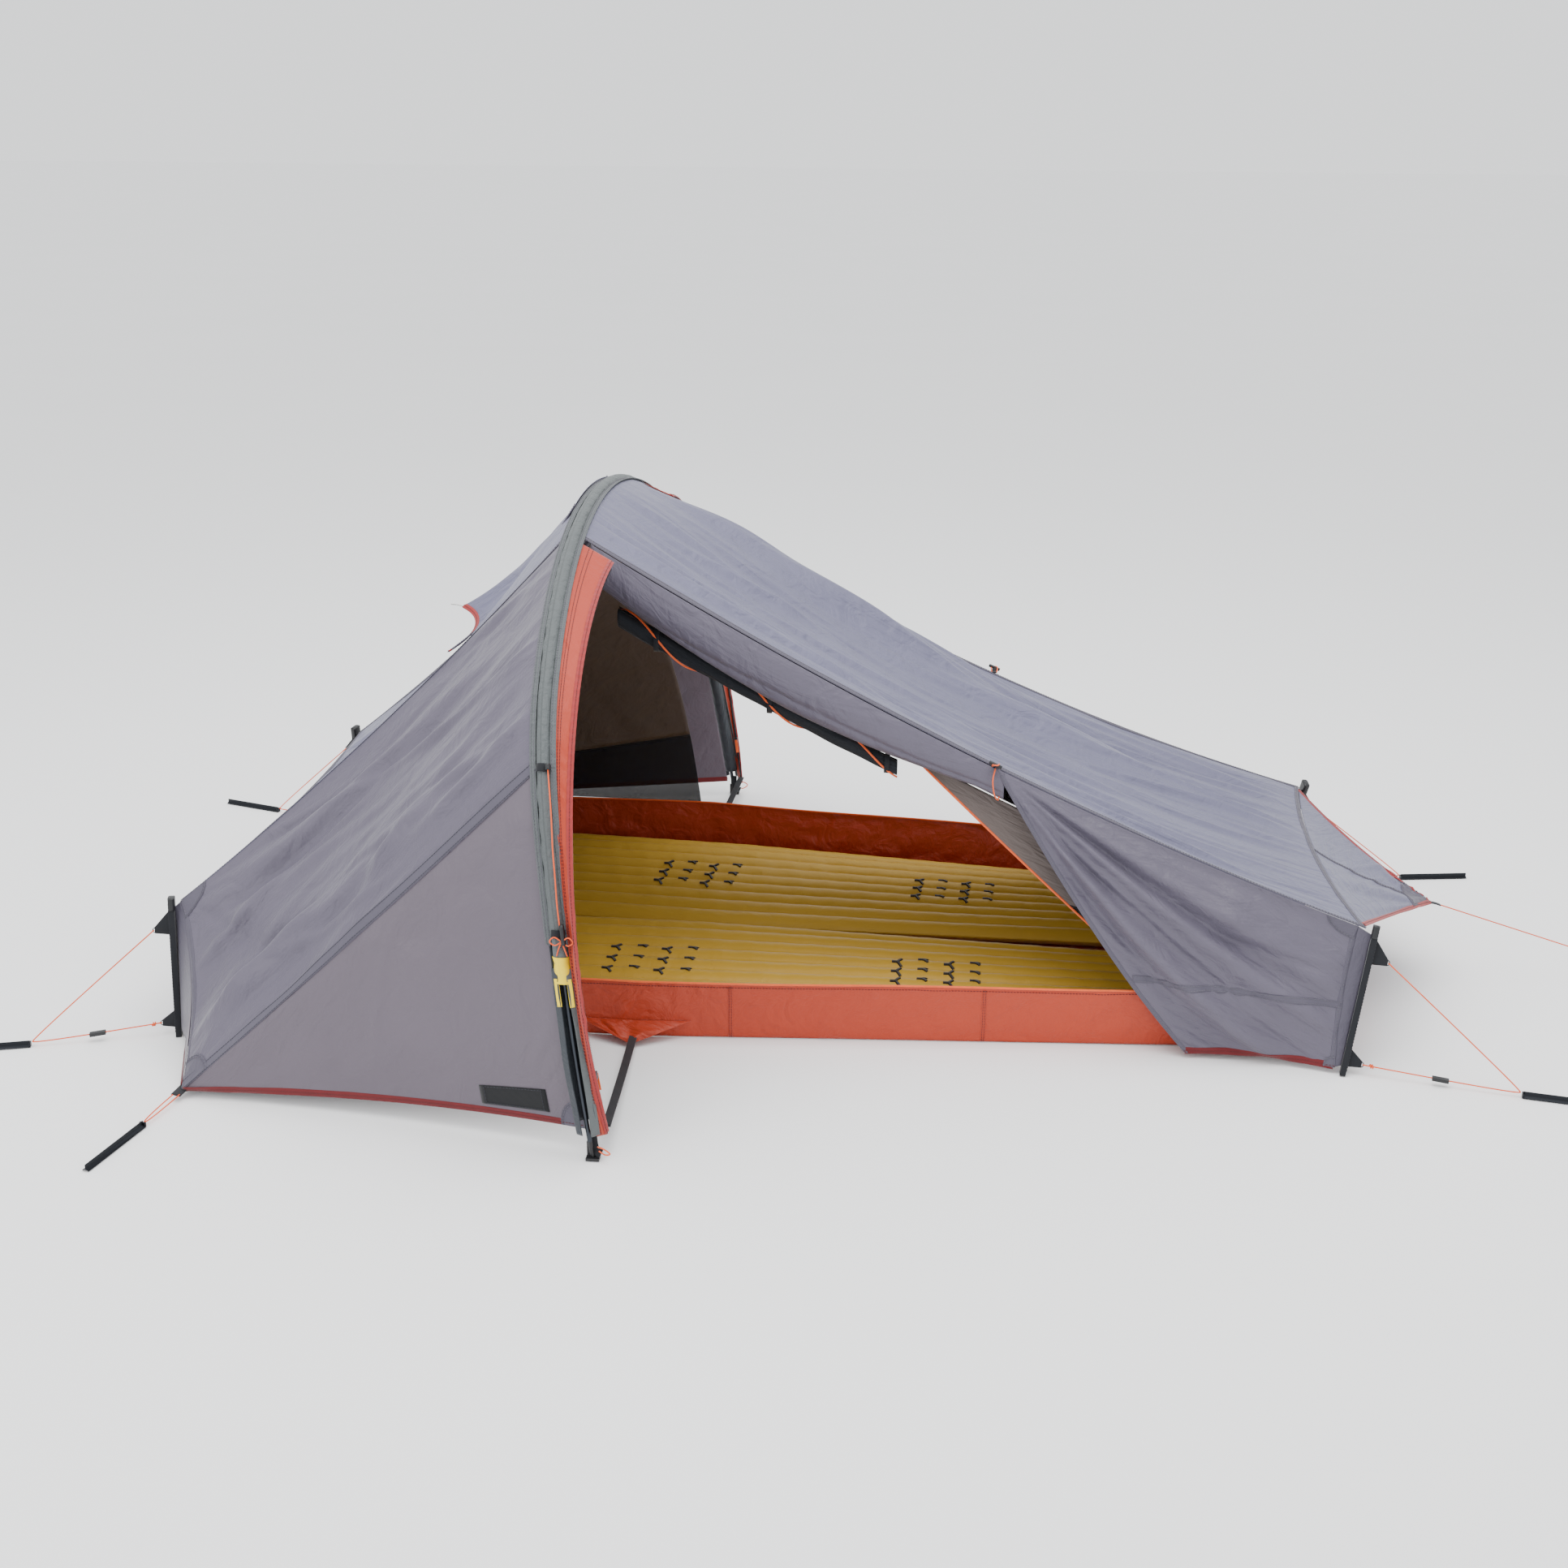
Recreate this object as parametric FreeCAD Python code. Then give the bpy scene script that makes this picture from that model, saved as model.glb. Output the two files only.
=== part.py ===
"""Two-person, single-hoop trekking tent, pitched, with both doors tied back and two air mats inside.

Frame: +X runs from the head end to the foot end, -Y is the near door, +Z is up, in millimetres.
The origin is on the ground, midway between the two feet of the hoop, under the floor's underside.
Every fabric panel is a thin closed sheet; every cord, pole section, strut and fitting is a solid.
"""
import FreeCAD
import Part
import math
import os

Vector = FreeCAD.Vector

# --- Hoop: a three-radius arch that leans towards the head end -----------------------------
HOOP_HALF_SPAN = 961.0
HOOP_HEIGHT = 991.0
HOOP_LEAN = 149.0
LEG_TURN = 20.4            # degrees of turn in each long leg arc
HAUNCH_TURN = 34.4         # degrees of turn in each pre-bent haunch
HAUNCH_RADIUS = 451.0
POLE_OUTER = 4.25
POLE_BORE = 3.4
POLE_SECTIONS = 5
FERRULE_LENGTH = 90.0
FERRULE_BORE = 2.4
SHOCK_CORD = 1.4
SLEEVE_OUTER = 13.0
SLEEVE_BORE = 7.0
SLEEVE_END_TURN = 12.0     # the fabric sleeve stops here and the pole runs bare to its foot
FOOT_TURN = 1.2            # where the pole's tip starts
SEAM_TURN = 75.0           # the two roof seams meet the hoop here, either side of the crown

# --- Plan of the tent ------------------------------------------------------------------------
HEAD_X = -900.0
FOOT_X = 1350.0
HEAD_HALF = 590.0
FOOT_HALF = 490.0
STRUT_HEIGHT = 265.0
HEAD_STRUT_BASE = Vector(HEAD_X, -HEAD_HALF, 0)
HEAD_STRUT_TOP = Vector(HEAD_X - 2, -HEAD_HALF + 31, STRUT_HEIGHT)
FOOT_STRUT_BASE = Vector(FOOT_X, -FOOT_HALF, 0)
FOOT_STRUT_TOP = Vector(FOOT_X + 46, -FOOT_HALF + 70, STRUT_HEIGHT)
HEAD_FABRIC = HEAD_STRUT_TOP + Vector(16, 8, 3)      # cloth corners, just inside the struts
FOOT_FABRIC = FOOT_STRUT_TOP + Vector(-16, 8, 3)
FLY_CORNER = Vector(-793, -829, 14)        # head corner of the outer tent, pegged out on its own
DOOR_HEM_START = Vector(1060, -458, 12)    # where the tied-back door's hem leaves the ground line
BEAK_TIP = Vector(1599, 0, 163)
HOOD_TIP = Vector(-455, 0, 734)
FABRIC = 1.2               # thickness given to every outer panel
SLEEVE_REACH = SLEEVE_OUTER + 2.0  # panels are sewn on this far to each side of the pole

# --- Floor and mats --------------------------------------------------------------------------
TUB_HEAD_X = -862.0
TUB_FOOT_X = 1325.0
TUB_HALF_HEAD = 512.0
TUB_HALF_FOOT = 385.0
TUB_SHIFT = 22.0           # the inner is pitched this much towards the far side
TUB_LEAN = 10.0
TUB_HEIGHT = 120.0
FLOOR_THICK = 1.5
DOOR_CUT_X = 1010.0        # where the inner door's edge meets the tub's rim
DOOR_CUT_SHARE = 0.42      # and how far along the roof seam it ends
TIE_X = -10.0              # where the strap to the hoop's foot leaves the tub
MAT_LENGTH = 1800.0
MAT_WIDTH = 490.0
MAT_FOOT_WIDTH = 330.0
MAT_TAPER_START = 0.35
VALVE_RADIUS = 17.0
VALVE_HEIGHT = 7.0
VALVE_FROM_HEAD = 60.0
MAT_THICK = 50.0

# --- Guys, pegs and fittings -----------------------------------------------------------------
CORD = 2.5
PEG_LENGTH = 160.0
PEG_ARM = 7.5
PEG_WALL = 1.6
HEAD_PEG = Vector(-1165, -672, 0)
FOOT_PEG = Vector(1668, -545, 0)
CORNER_PEG = Vector(-817, -945, 0)
BEAK_PEG = Vector(2126, 0, 0)
ADJUSTER_LENGTH = 30.0
TOGGLE_HALF = 13.0
TOGGLE_OFFSET = Vector(0, -15, 10)     # from the roof seam to the toggle on its loop
ADJUSTER_SHARE = 0.5       # how far along the lower guy the adjuster sits

# Stowed guy on each leg, from its upper tab to its lower one: turn along the hoop in degrees,
# distance out from the pole's middle, and distance towards the foot end.
STOWED_ROUTE = [
    (33.5, 17.0, 12.0), (27.2, 18.5, 14.0), (21.2, 17.5, 13.0), (19.3, 18.8, 11.0),
    (17.5, 17.5, 10.0), (15.7, 18.6, 8.0), (14.2, 17.0, 9.0),
]

os.makedirs("parts", exist_ok=True)


# --- Small geometry helpers --------------------------------------------------------------------
def unit(v):
    """The vector scaled to length one."""
    out = Vector(v)
    out.normalize()
    return out


def mixed(a, b, t):
    """The point a share t of the way from a to b."""
    return a + (b - a) * t


def straight(a, b):
    """The straight line from a to b, as a curve."""
    return lambda t: mixed(a, b, t)


def sagged(a, b, sag):
    """A curve from a to b, pulled aside by the vector sag at its middle."""
    return lambda t: mixed(a, b, t) + sag * (4 * t * (1 - t))


def part_of(curve, start, end):
    """The stretch of a curve from start to end, as a curve of its own."""
    return lambda t: curve(start + (end - start) * t)


def far(v):
    """A near-side point or direction on the far side."""
    return Vector(v.x, -v.y, v.z)


def mirrored(shape):
    """The far-side twin of a near-side shape."""
    return shape.mirror(Vector(0, 0, 0), Vector(0, 1, 0))


def save(name, *solids):
    """Writes one node: one solid, or several identical ones as a group."""
    shape = solids[0] if len(solids) == 1 else Part.makeCompound(list(solids))
    for solid in solids:
        if not solid.isValid() or solid.Volume <= 0:
            print("problem:", name, solid.isValid(), solid.Volume)
    shape.exportStep("parts/" + name + ".step")


def save_pair(name, solid):
    """Writes a near node and its mirror image on the far side."""
    save(name + "_near", solid)
    save(name + "_far", mirrored(solid))


# --- The hoop's line --------------------------------------------------------------------------
def hoop_arcs():
    """(start turn, end turn, radius) of the near half's arcs, from the foot to the crown."""
    slant = math.hypot(HOOP_HEIGHT, HOOP_LEAN)
    c1, s1 = math.cos(math.radians(LEG_TURN)), math.sin(math.radians(LEG_TURN))
    end = math.radians(LEG_TURN + HAUNCH_TURN)
    c2, s2 = math.cos(end), math.sin(end)
    across = HOOP_HALF_SPAN - HAUNCH_RADIUS * (c1 - c2)
    up = slant - HAUNCH_RADIUS * (s2 - s1)
    det = (1 - c1) * (1 - s2) - c2 * s1
    leg = (across * (1 - s2) - c2 * up) / det
    crown = ((1 - c1) * up - s1 * across) / det
    turn = LEG_TURN + HAUNCH_TURN
    return [(0.0, LEG_TURN, leg), (LEG_TURN, turn, HAUNCH_RADIUS), (turn, 90.0, crown)]


ARCS = hoop_arcs()


def hoop_at(turn, out=0.0, along=0.0):
    """A point of the hoop where its line has turned by that many degrees since the near foot.

    out moves it away from the arch's inside, and along moves it in X.
    """
    side = 1.0
    if turn > 90.0:
        turn, side = 180.0 - turn, -1.0
    y, rise = -HOOP_HALF_SPAN, 0.0
    for start, end, radius in ARCS:
        stop = min(max(turn, start), end)
        a, b = math.radians(start), math.radians(stop)
        y += radius * (math.cos(a) - math.cos(b))
        rise += radius * (math.sin(b) - math.sin(a))
    here = math.radians(turn)
    y -= out * math.cos(here)
    rise += out * math.sin(here)
    slant = math.hypot(HOOP_HEIGHT, HOOP_LEAN)
    return Vector(along - rise * HOOP_LEAN / slant, side * y, rise * HOOP_HEIGHT / slant)


def hoop_wire(start, end, out=0.0):
    """The hoop's line between two turns, as tangent arcs."""
    stops = [start]
    for turn in (LEG_TURN, LEG_TURN + HAUNCH_TURN, 180 - LEG_TURN - HAUNCH_TURN, 180 - LEG_TURN):
        if start < turn < end:
            stops.append(turn)
    stops.append(end)
    edges = []
    for a, b in zip(stops, stops[1:]):
        arc = Part.Arc(hoop_at(a, out), hoop_at((a + b) / 2, out), hoop_at(b, out))
        edges.append(arc.toShape())
    return Part.Wire(edges)


def round_bar(wire, radius):
    """A round bar along a wire of tangent pieces."""
    first = wire.OrderedEdges[0]
    start = first.valueAt(first.FirstParameter)
    heading = first.tangentAt(first.FirstParameter)
    ring = Part.Wire([Part.makeCircle(radius, start, heading)])
    return wire.makePipeShell([ring], True, False)


def hollow_bar(wire, radius, bore):
    """A tube along a wire of tangent pieces."""
    return round_bar(wire, radius).cut(round_bar(wire, bore))


def length_to(turn):
    """Length of the hoop's line from the near foot to that turn."""
    total = 0.0
    stretches = ARCS + [(180 - end, 180 - start, radius) for start, end, radius in reversed(ARCS)]
    for start, end, radius in stretches:
        total += radius * math.radians(min(max(turn, start), end) - start)
    return total


def turn_between(start, end, t):
    """The turn a share t of the way from start to end, measured along the line."""
    goal = length_to(start) + (length_to(end) - length_to(start)) * t
    low, high = 0.0, 180.0
    for _ in range(40):
        middle = (low + high) / 2
        if length_to(middle) < goal:
            low = middle
        else:
            high = middle
    return (low + high) / 2


# --- Sheets ------------------------------------------------------------------------------------
def coons(bottom, top, left, right, columns, rows, fill=None):
    """A grid of points on the smooth patch inside four boundary curves.

    bottom and top run along the columns, left and right along the rows. fill(u, v) adds a
    vector inside the patch, such as the dip of a tensioned sheet.
    """
    c00, c10, c01, c11 = bottom(0.0), bottom(1.0), top(0.0), top(1.0)
    grid = []
    for i in range(columns + 1):
        u = i / columns
        line = []
        for j in range(rows + 1):
            v = j / rows
            along = mixed(bottom(u), top(u), v)
            across = mixed(left(v), right(v), u)
            flat = mixed(mixed(c00, c10, u), mixed(c01, c11, u), v)
            point = along + across - flat
            if fill:
                point = point + fill(u, v)
            line.append(point)
        grid.append(line)
    return grid


def ruled(bottom, top, columns, rows):
    """A grid of points on the straight lines between two curves."""
    grid = []
    for i in range(columns + 1):
        a, b = bottom(i / columns), top(i / columns)
        grid.append([mixed(a, b, j / rows) for j in range(rows + 1)])
    return grid


def normal_at(grid, i, j):
    """The sheet's normal at one point of its grid."""
    last_i, last_j = len(grid) - 1, len(grid[0]) - 1
    along = grid[min(i + 1, last_i)][j] - grid[max(i - 1, 0)][j]
    across = grid[i][min(j + 1, last_j)] - grid[i][max(j - 1, 0)]
    if along.Length < 1e-6 or across.Length < 1e-6:
        inner_i = min(max(i, 1), last_i - 1)
        inner_j = min(max(j, 1), last_j - 1)
        along = grid[inner_i + 1][inner_j] - grid[inner_i - 1][inner_j]
        across = grid[inner_i][inner_j + 1] - grid[inner_i][inner_j - 1]
    return unit(along.cross(across))


def shell_solid(triangles):
    """A solid from its outer triangles; triangles with no area are left out."""
    faces = []
    for a, b, c in triangles:
        if (b - a).cross(c - a).Length > 1e-4:
            faces.append(Part.Face(Part.makePolygon([a, b, c, a])))
    shell = Part.makeShell(faces)
    shell.sewShape()
    solid = Part.Solid(shell if shell.ShapeType == "Shell" else shell.Shells[0])
    if solid.Volume < 0:
        solid.reverse()
    return solid


def quad(a, b, c, d):
    """Two triangles that fill a four-sided face."""
    return [(a, b, c), (a, c, d)]


def sheet(grid, thickness=FABRIC):
    """A closed thin sheet that follows a grid of points, half its thickness on each side."""
    columns, rows = len(grid), len(grid[0])
    upper, lower = [], []
    for i in range(columns):
        step = [normal_at(grid, i, j) * (thickness / 2) for j in range(rows)]
        upper.append([grid[i][j] + step[j] for j in range(rows)])
        lower.append([grid[i][j] - step[j] for j in range(rows)])
    faces = []
    for i in range(columns - 1):
        for j in range(rows - 1):
            faces += quad(upper[i][j], upper[i + 1][j], upper[i + 1][j + 1], upper[i][j + 1])
            faces += quad(lower[i][j], lower[i][j + 1], lower[i + 1][j + 1], lower[i + 1][j])
    for i in range(columns - 1):
        for j in (0, rows - 1):
            faces += quad(upper[i][j], lower[i][j], lower[i + 1][j], upper[i + 1][j])
    for j in range(rows - 1):
        for i in (0, columns - 1):
            faces += quad(upper[i][j], upper[i][j + 1], lower[i][j + 1], lower[i][j])
    return shell_solid(faces)


def loft_rings(rings):
    """A closed solid through rings of points, with flat ends."""
    faces = []
    for a, b in zip(rings, rings[1:]):
        for k in range(len(a)):
            n = (k + 1) % len(a)
            faces += quad(a[k], a[n], b[n], b[k])
    for ring in (rings[0], rings[-1]):
        for k in range(1, len(ring) - 1):
            faces.append((ring[0], ring[k], ring[k + 1]))
    return shell_solid(faces)


def bundle(centre, wide, high, count=8, stations=7):
    """A rolled or gathered bundle: ellipses along a curve, wide across Y and high up and down."""
    rings = []
    for i in range(stations + 1):
        t = i / stations
        here = centre(t)
        ring = []
        for k in range(count):
            a = 2 * math.pi * k / count
            across = Vector(0, wide(t) * math.cos(a) / 2, high(t) * math.sin(a) / 2)
            ring.append(here + across)
        rings.append(ring)
    return loft_rings(rings)


# --- Cords ---------------------------------------------------------------------------------------
def cord_wire(points, name):
    """Straight runs joined by tangent arcs as large as the two runs at each point allow."""
    edges, here, tightest = [], points[0], 1e9
    for before, point, after in zip(points, points[1:], points[2:]):
        back, on = before - point, after - point
        half = back.getAngle(on) / 2
        reach = 0.45 * min(back.Length, on.Length)
        tightest = min(tightest, reach * math.tan(half))
        start, end = point + unit(back) * reach, point + unit(on) * reach
        middle = unit(unit(back) + unit(on))
        radius = reach * math.tan(half)
        crest = point + middle * (reach / math.cos(half) - radius)
        edges.append(Part.LineSegment(here, start).toShape())
        edges.append(Part.Arc(start, crest, end).toShape())
        here = end
    edges.append(Part.LineSegment(here, points[-1]).toShape())
    print(name, "tightest arc", round(tightest, 1))
    return Part.Wire(edges)


def cord(points, name, diameter=CORD):
    """A round cord along its route."""
    wire = cord_wire(points, name)
    solid = round_bar(wire, diameter / 2)
    wanted = math.pi * diameter ** 2 / 4 * wire.Length
    print(name, "length", round(wire.Length), "volume share", round(solid.Volume / wanted, 3))
    return solid


# --- Oriented blocks --------------------------------------------------------------------------
def placed(shape, origin, along, up=Vector(0, 0, 1)):
    """The shape moved so that its own X points along, its own Z leans towards up."""
    x = unit(along)
    y = unit(up.cross(x))
    z = x.cross(y)
    matrix = FreeCAD.Matrix(
        x.x, y.x, z.x, origin.x, x.y, y.y, z.y, origin.y, x.z, y.z, z.z, origin.z, 0, 0, 0, 1)
    return shape.transformGeometry(matrix)


def rod(a, b, radius):
    """A straight round rod between two points."""
    return Part.makeCylinder(radius, (b - a).Length, a, b - a)


def plate(points, thickness, direction):
    """A flat plate through points, thickened both ways along a direction."""
    step = unit(direction) * thickness
    face = Part.Face(Part.makePolygon([p - step / 2 for p in points + points[:1]]))
    return face.extrude(step)


# --- Pole -----------------------------------------------------------------------------------------
def build_pole():
    """Sections of alloy tube, the ferrules that join them, the elastic inside and the two tips."""
    stops = [turn_between(FOOT_TURN, 180 - FOOT_TURN, k / POLE_SECTIONS) for k in range(POLE_SECTIONS + 1)]
    for k in range(POLE_SECTIONS):
        wire = hoop_wire(stops[k] + (0.02 if k else 0), stops[k + 1])
        save("pole_section_%d" % (k + 1), hollow_bar(wire, POLE_OUTER, POLE_BORE))
    ferrules = []
    whole = length_to(180.0)
    for turn in stops[1:-1]:
        here = length_to(turn) / whole
        reach = FERRULE_LENGTH / 2 / whole
        line = hoop_wire(turn_between(0, 180, here - reach), turn_between(0, 180, here + reach))
        ferrules.append(hollow_bar(line, POLE_BORE, FERRULE_BORE))
    save("pole_ferrules", *ferrules)
    save("pole_shock_cord", round_bar(hoop_wire(FOOT_TURN + 0.4, 179.6 - FOOT_TURN), SHOCK_CORD))
    tip = rod(hoop_at(0.15), hoop_at(FOOT_TURN), POLE_OUTER - 0.5)
    save("pole_tips", tip, mirrored(tip))


def build_sleeve():
    """The fabric sleeve over the pole, its bright cuff, and the eyelet ladders at its feet."""
    save("fly_hoop_sleeve",
         hollow_bar(hoop_wire(SLEEVE_END_TURN + 1.6, 178.4 - SLEEVE_END_TURN), SLEEVE_OUTER, SLEEVE_BORE))
    cuff = hollow_bar(hoop_wire(SLEEVE_END_TURN - 1.0, SLEEVE_END_TURN + 1.6), SLEEVE_OUTER + 0.8, SLEEVE_BORE)
    save("sleeve_cuffs", cuff, mirrored(cuff))
    base = hoop_at(0)
    ladder = Part.makeBox(24, 16, 5, Vector(base.x - 12, base.y - 10, 0))
    socket = Part.makeCylinder(POLE_OUTER + 0.2, 10, Vector(base.x, base.y, 2))
    rib = Part.makeBox(8, 5, 26, Vector(base.x - 12, base.y + 5, 4))
    foot = ladder.cut(socket).fuse(rib)
    save("pole_foot_ladders", foot, mirrored(foot))


# --- Corner struts --------------------------------------------------------------------------------
def strut_cover(base, top, outward):
    """A webbing pocket round a strut, with a gusset tab for the guy at its top and at its foot."""
    axis = unit(top - base)
    length = (top - base).Length
    pocket = Part.makeBox(length + 14, 24, 11, Vector(-2, -12, -5.5))
    pocket = placed(pocket, base, axis, up=outward)
    bore = rod(base + axis * 6, top + axis * 4, 4.6)
    cover = pocket.cut(bore)
    inner = outward * 4.0
    for low, high, reach in ((length - 62, length - 12, 34.0), (16.0, 52.0, 30.0)):
        a, b = base + axis * low + inner, base + axis * high + inner
        tip_low, tip_high = base + axis * (low + 4) + outward * reach, base + axis * (low + 16) + outward * reach
        cover = cover.fuse(plate([a, tip_low, tip_high, b], 3.0, axis.cross(outward)))
    floor = Part.makeBox(400, 400, 60, Vector(base.x - 200, base.y - 200, -60))
    return cover.cut(floor)


def build_struts():
    """The four short corner struts and their webbing pockets."""
    rods = []
    for base, top in ((HEAD_STRUT_BASE, HEAD_STRUT_TOP), (FOOT_STRUT_BASE, FOOT_STRUT_TOP)):
        axis = unit(top - base)
        core = rod(base + axis * 6.5, top + axis * 3.5, 4.0)
        rods += [core, mirrored(core)]
    save("strut_rods", *rods)
    covers = []
    for base, top, at in ((HEAD_STRUT_BASE, HEAD_STRUT_TOP, HEAD_PEG),
                          (FOOT_STRUT_BASE, FOOT_STRUT_TOP, FOOT_PEG)):
        cover = strut_cover(base, top, guy_heading(base, top, at))
        covers += [cover, mirrored(cover)]
    save("strut_covers", *covers)


def guy_heading(base, top, peg):
    """The direction square to a strut that points at its peg."""
    axis = unit(top - base)
    to_peg = peg - base
    return unit(to_peg - axis * to_peg.dot(axis))


# --- Outer tent ---------------------------------------------------------------------------------
def hoop_edge(start, end, side):
    """The hoop's line between two turns, shifted to the sleeve's head side (-1) or foot side (+1)."""
    return lambda t: hoop_at(turn_between(start, end, t), 3.0, side * SLEEVE_REACH)


def head_seam(t):
    """Near roof seam of the head half, from the hoop to the strut's top."""
    return sagged(hoop_at(SEAM_TURN, 3.0, -SLEEVE_REACH), HEAD_FABRIC, Vector(0, 12, -26))(t)


def foot_seam(t):
    """Near roof seam of the foot half, from the hoop to the strut's top."""
    return sagged(hoop_at(SEAM_TURN, 3.0, SLEEVE_REACH), FOOT_FABRIC, Vector(0, 30, -56))(t)


HEAD_TOP = sagged(HEAD_FABRIC, far(HEAD_FABRIC), Vector(14, 0, -10))
FOOT_TOP = sagged(FOOT_FABRIC, far(FOOT_FABRIC), Vector(-30, 0, 0))
HEM = sagged(Vector(-16, -936, 44), FLY_CORNER, Vector(0, 22, 6))
DIAGONAL_TURN = 33.0       # where the reinforcing seam from the head corner meets the hoop
DIAGONAL = sagged(hoop_at(DIAGONAL_TURN, 3.0, -SLEEVE_REACH), FLY_CORNER, Vector(0, 14, -10))
TOGGLE_SHARE = 0.53        # where along the foot seam the door is tied back


def dip(depth):
    """The dip of a roof panel between its seams, deepest half way along the middle."""
    return lambda u, v: Vector(0, 0, -depth * 4 * u * (1 - u) * 4 * v * (1 - v))


def hollow_in(depth):
    """The inward pull of a wall panel, towards the tent's middle."""
    return lambda u, v: Vector(0, depth * 4 * u * (1 - u) * 4 * v * (1 - v), 0)


def build_fly():
    """Roof, walls, doors, beak and vent hood of the outer tent."""
    crown_head = hoop_edge(SEAM_TURN, 180 - SEAM_TURN, -1)
    crown_foot = hoop_edge(SEAM_TURN, 180 - SEAM_TURN, 1)
    save("fly_roof_head", sheet(coons(
        head_seam, lambda t: far(head_seam(t)), crown_head, HEAD_TOP, 8, 10, dip(62))))
    save("fly_roof_foot", sheet(coons(
        foot_seam, lambda t: far(foot_seam(t)), crown_foot, FOOT_TOP, 12, 10, dip(45))))
    end_edge = sagged(FLY_CORNER + Vector(0, -1.0, 2.4), HEAD_FABRIC + Vector(0, -1.5, -2.5), Vector(14, 20, 0))
    under_seam = lambda t: head_seam(t) + Vector(0, -1.5, -2.5)
    above = sagged(hoop_at(DIAGONAL_TURN + 0.35, 3.0, -SLEEVE_REACH), FLY_CORNER + Vector(0, -1.0, 2.4),
                   Vector(0, 14, -10))
    upper = sheet(coons(above, under_seam, hoop_edge(DIAGONAL_TURN + 0.35, SEAM_TURN - 0.5, -1), end_edge,
                        8, 6, hollow_in(18)))
    save_pair("fly_head_upper", upper)
    leg = hoop_edge(1.6, DIAGONAL_TURN, -1)
    lower = sheet(coons(HEM, DIAGONAL, leg, lambda t: FLY_CORNER, 8, 6, hollow_in(14)))
    save_pair("fly_head_lower", lower)
    save("fly_head_end", sheet(ruled(head_end_low, head_end_top, 20, 4)))
    build_foot_doors()
    root = lambda t: FOOT_TOP(0.02 + 0.96 * t) + Vector(2, 0, -1)
    save("fly_beak", sheet(coons(
        root, lambda t: BEAK_TIP, sagged(root(0), BEAK_TIP, Vector(-12, 0, -4)),
        sagged(root(1), BEAK_TIP, Vector(-12, 0, -4)), 8, 6)))
    build_hood()
    build_strips()


def head_end_low(t):
    """Lower edge of the head end: from one corner to the struts, across, and to the other corner."""
    if t > 0.5:
        return far(head_end_low(1 - t))
    corner, foot = FLY_CORNER + Vector(-4, 5, 0), Vector(HEAD_X + 17, -HEAD_HALF + 14, 26)
    if t < END_WING:
        return mixed(corner, foot, t / END_WING)
    return mixed(foot, Vector(foot.x, 0, foot.z), (t - END_WING) / (0.5 - END_WING))


def head_end_top(t):
    """Upper edge of the head end, with the wings' tops drawn together at the struts."""
    if t > 0.5:
        return far(head_end_top(1 - t))
    wing = END_WING * 0.1
    share = t * 0.1 if t < END_WING else wing + (t - END_WING) / (0.5 - END_WING) * (0.5 - wing)
    return HEAD_TOP(share) + Vector(-3, 3, -3)


def build_foot_doors():
    """The part of each door that hangs from the seam to the ground, and the part tied up under it."""
    post = sagged(DOOR_HEM_START + Vector(272, -30, 0), FOOT_FABRIC + Vector(-2, -4, -6), Vector(-6, 0, 0))
    free = sagged(DOOR_HEM_START, foot_seam(TOGGLE_SHARE) + Vector(0, -4, -30), Vector(12, -24, -40))
    hem = sagged(DOOR_HEM_START, post(0.0), Vector(0, 12, 3))
    top = lambda t: foot_seam(TOGGLE_SHARE + (0.99 - TOGGLE_SHARE) * t) + Vector(0, -4, -8)
    save_pair("fly_door_hanging", sheet(coons(hem, top, free, post, 8, 6, hollow_in(-16))))

    def centre(t):
        return foot_seam(0.07 + (TOGGLE_SHARE - 0.07) * t) + Vector(0, 8, -52 + 10 * t)

    save_pair("fly_door_gathered", bundle(
        centre, lambda t: 44 - 18 * t, lambda t: 92 - 34 * t, count=10, stations=6))


HOOD_HALF = 130.0


def build_hood():
    """The vent hood: a flap sewn below the crown whose open edge is pulled out to a point."""
    crown = hoop_edge(82.0, 98.0, -1)
    root = lambda t: crown(t) + Vector(-8, 0, 5)
    near = sagged(root(0.0), Vector(-455, -HOOD_HALF, 668), Vector(0, 0, -8))
    mouth_near = sagged(Vector(-455, -HOOD_HALF, 668), HOOD_TIP, Vector(44, 0, 8))
    mouth = lambda t: mouth_near(2 * t) if t <= 0.5 else far(mouth_near(2 - 2 * t))
    save("fly_vent_hood", sheet(coons(
        near, lambda t: far(near(t)), root, mouth, 8, 8, lambda u, v: Vector(0, 0, -22 * 4 * u * (1 - u)))))


# --- Door strips and zips --------------------------------------------------------------------
STRIP_TOP = Vector(-63, -345, 908)
STRIP_MIDDLE = Vector(-55, -775, 672)
STRIP_FOOT = Vector(22, -932, 40)
SLIDER_SHARE = 0.90        # where the slider is parked, from the strip's top
PULL_LIFT = 6.4            # from the middle of the zip to the pull's pin
STRIP_GAP = 9.0            # the cloth ends this far short of the middle of its zip
END_WING = 0.2              # share of the head end's width that each wing takes


def strip_arc():
    """Centre, axis, radius and opening angle of the strip's free edge, a plain circular arc."""
    circle = Part.Arc(STRIP_TOP, STRIP_MIDDLE, STRIP_FOOT).toShape().Curve
    centre = circle.Center
    a, b = STRIP_TOP - centre, STRIP_FOOT - centre
    axis = unit(a.cross(b))
    return centre, axis, a.Length, math.degrees(a.getAngle(b))


STRIP_CENTRE, STRIP_AXIS, STRIP_RADIUS, STRIP_ANGLE = strip_arc()


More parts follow.
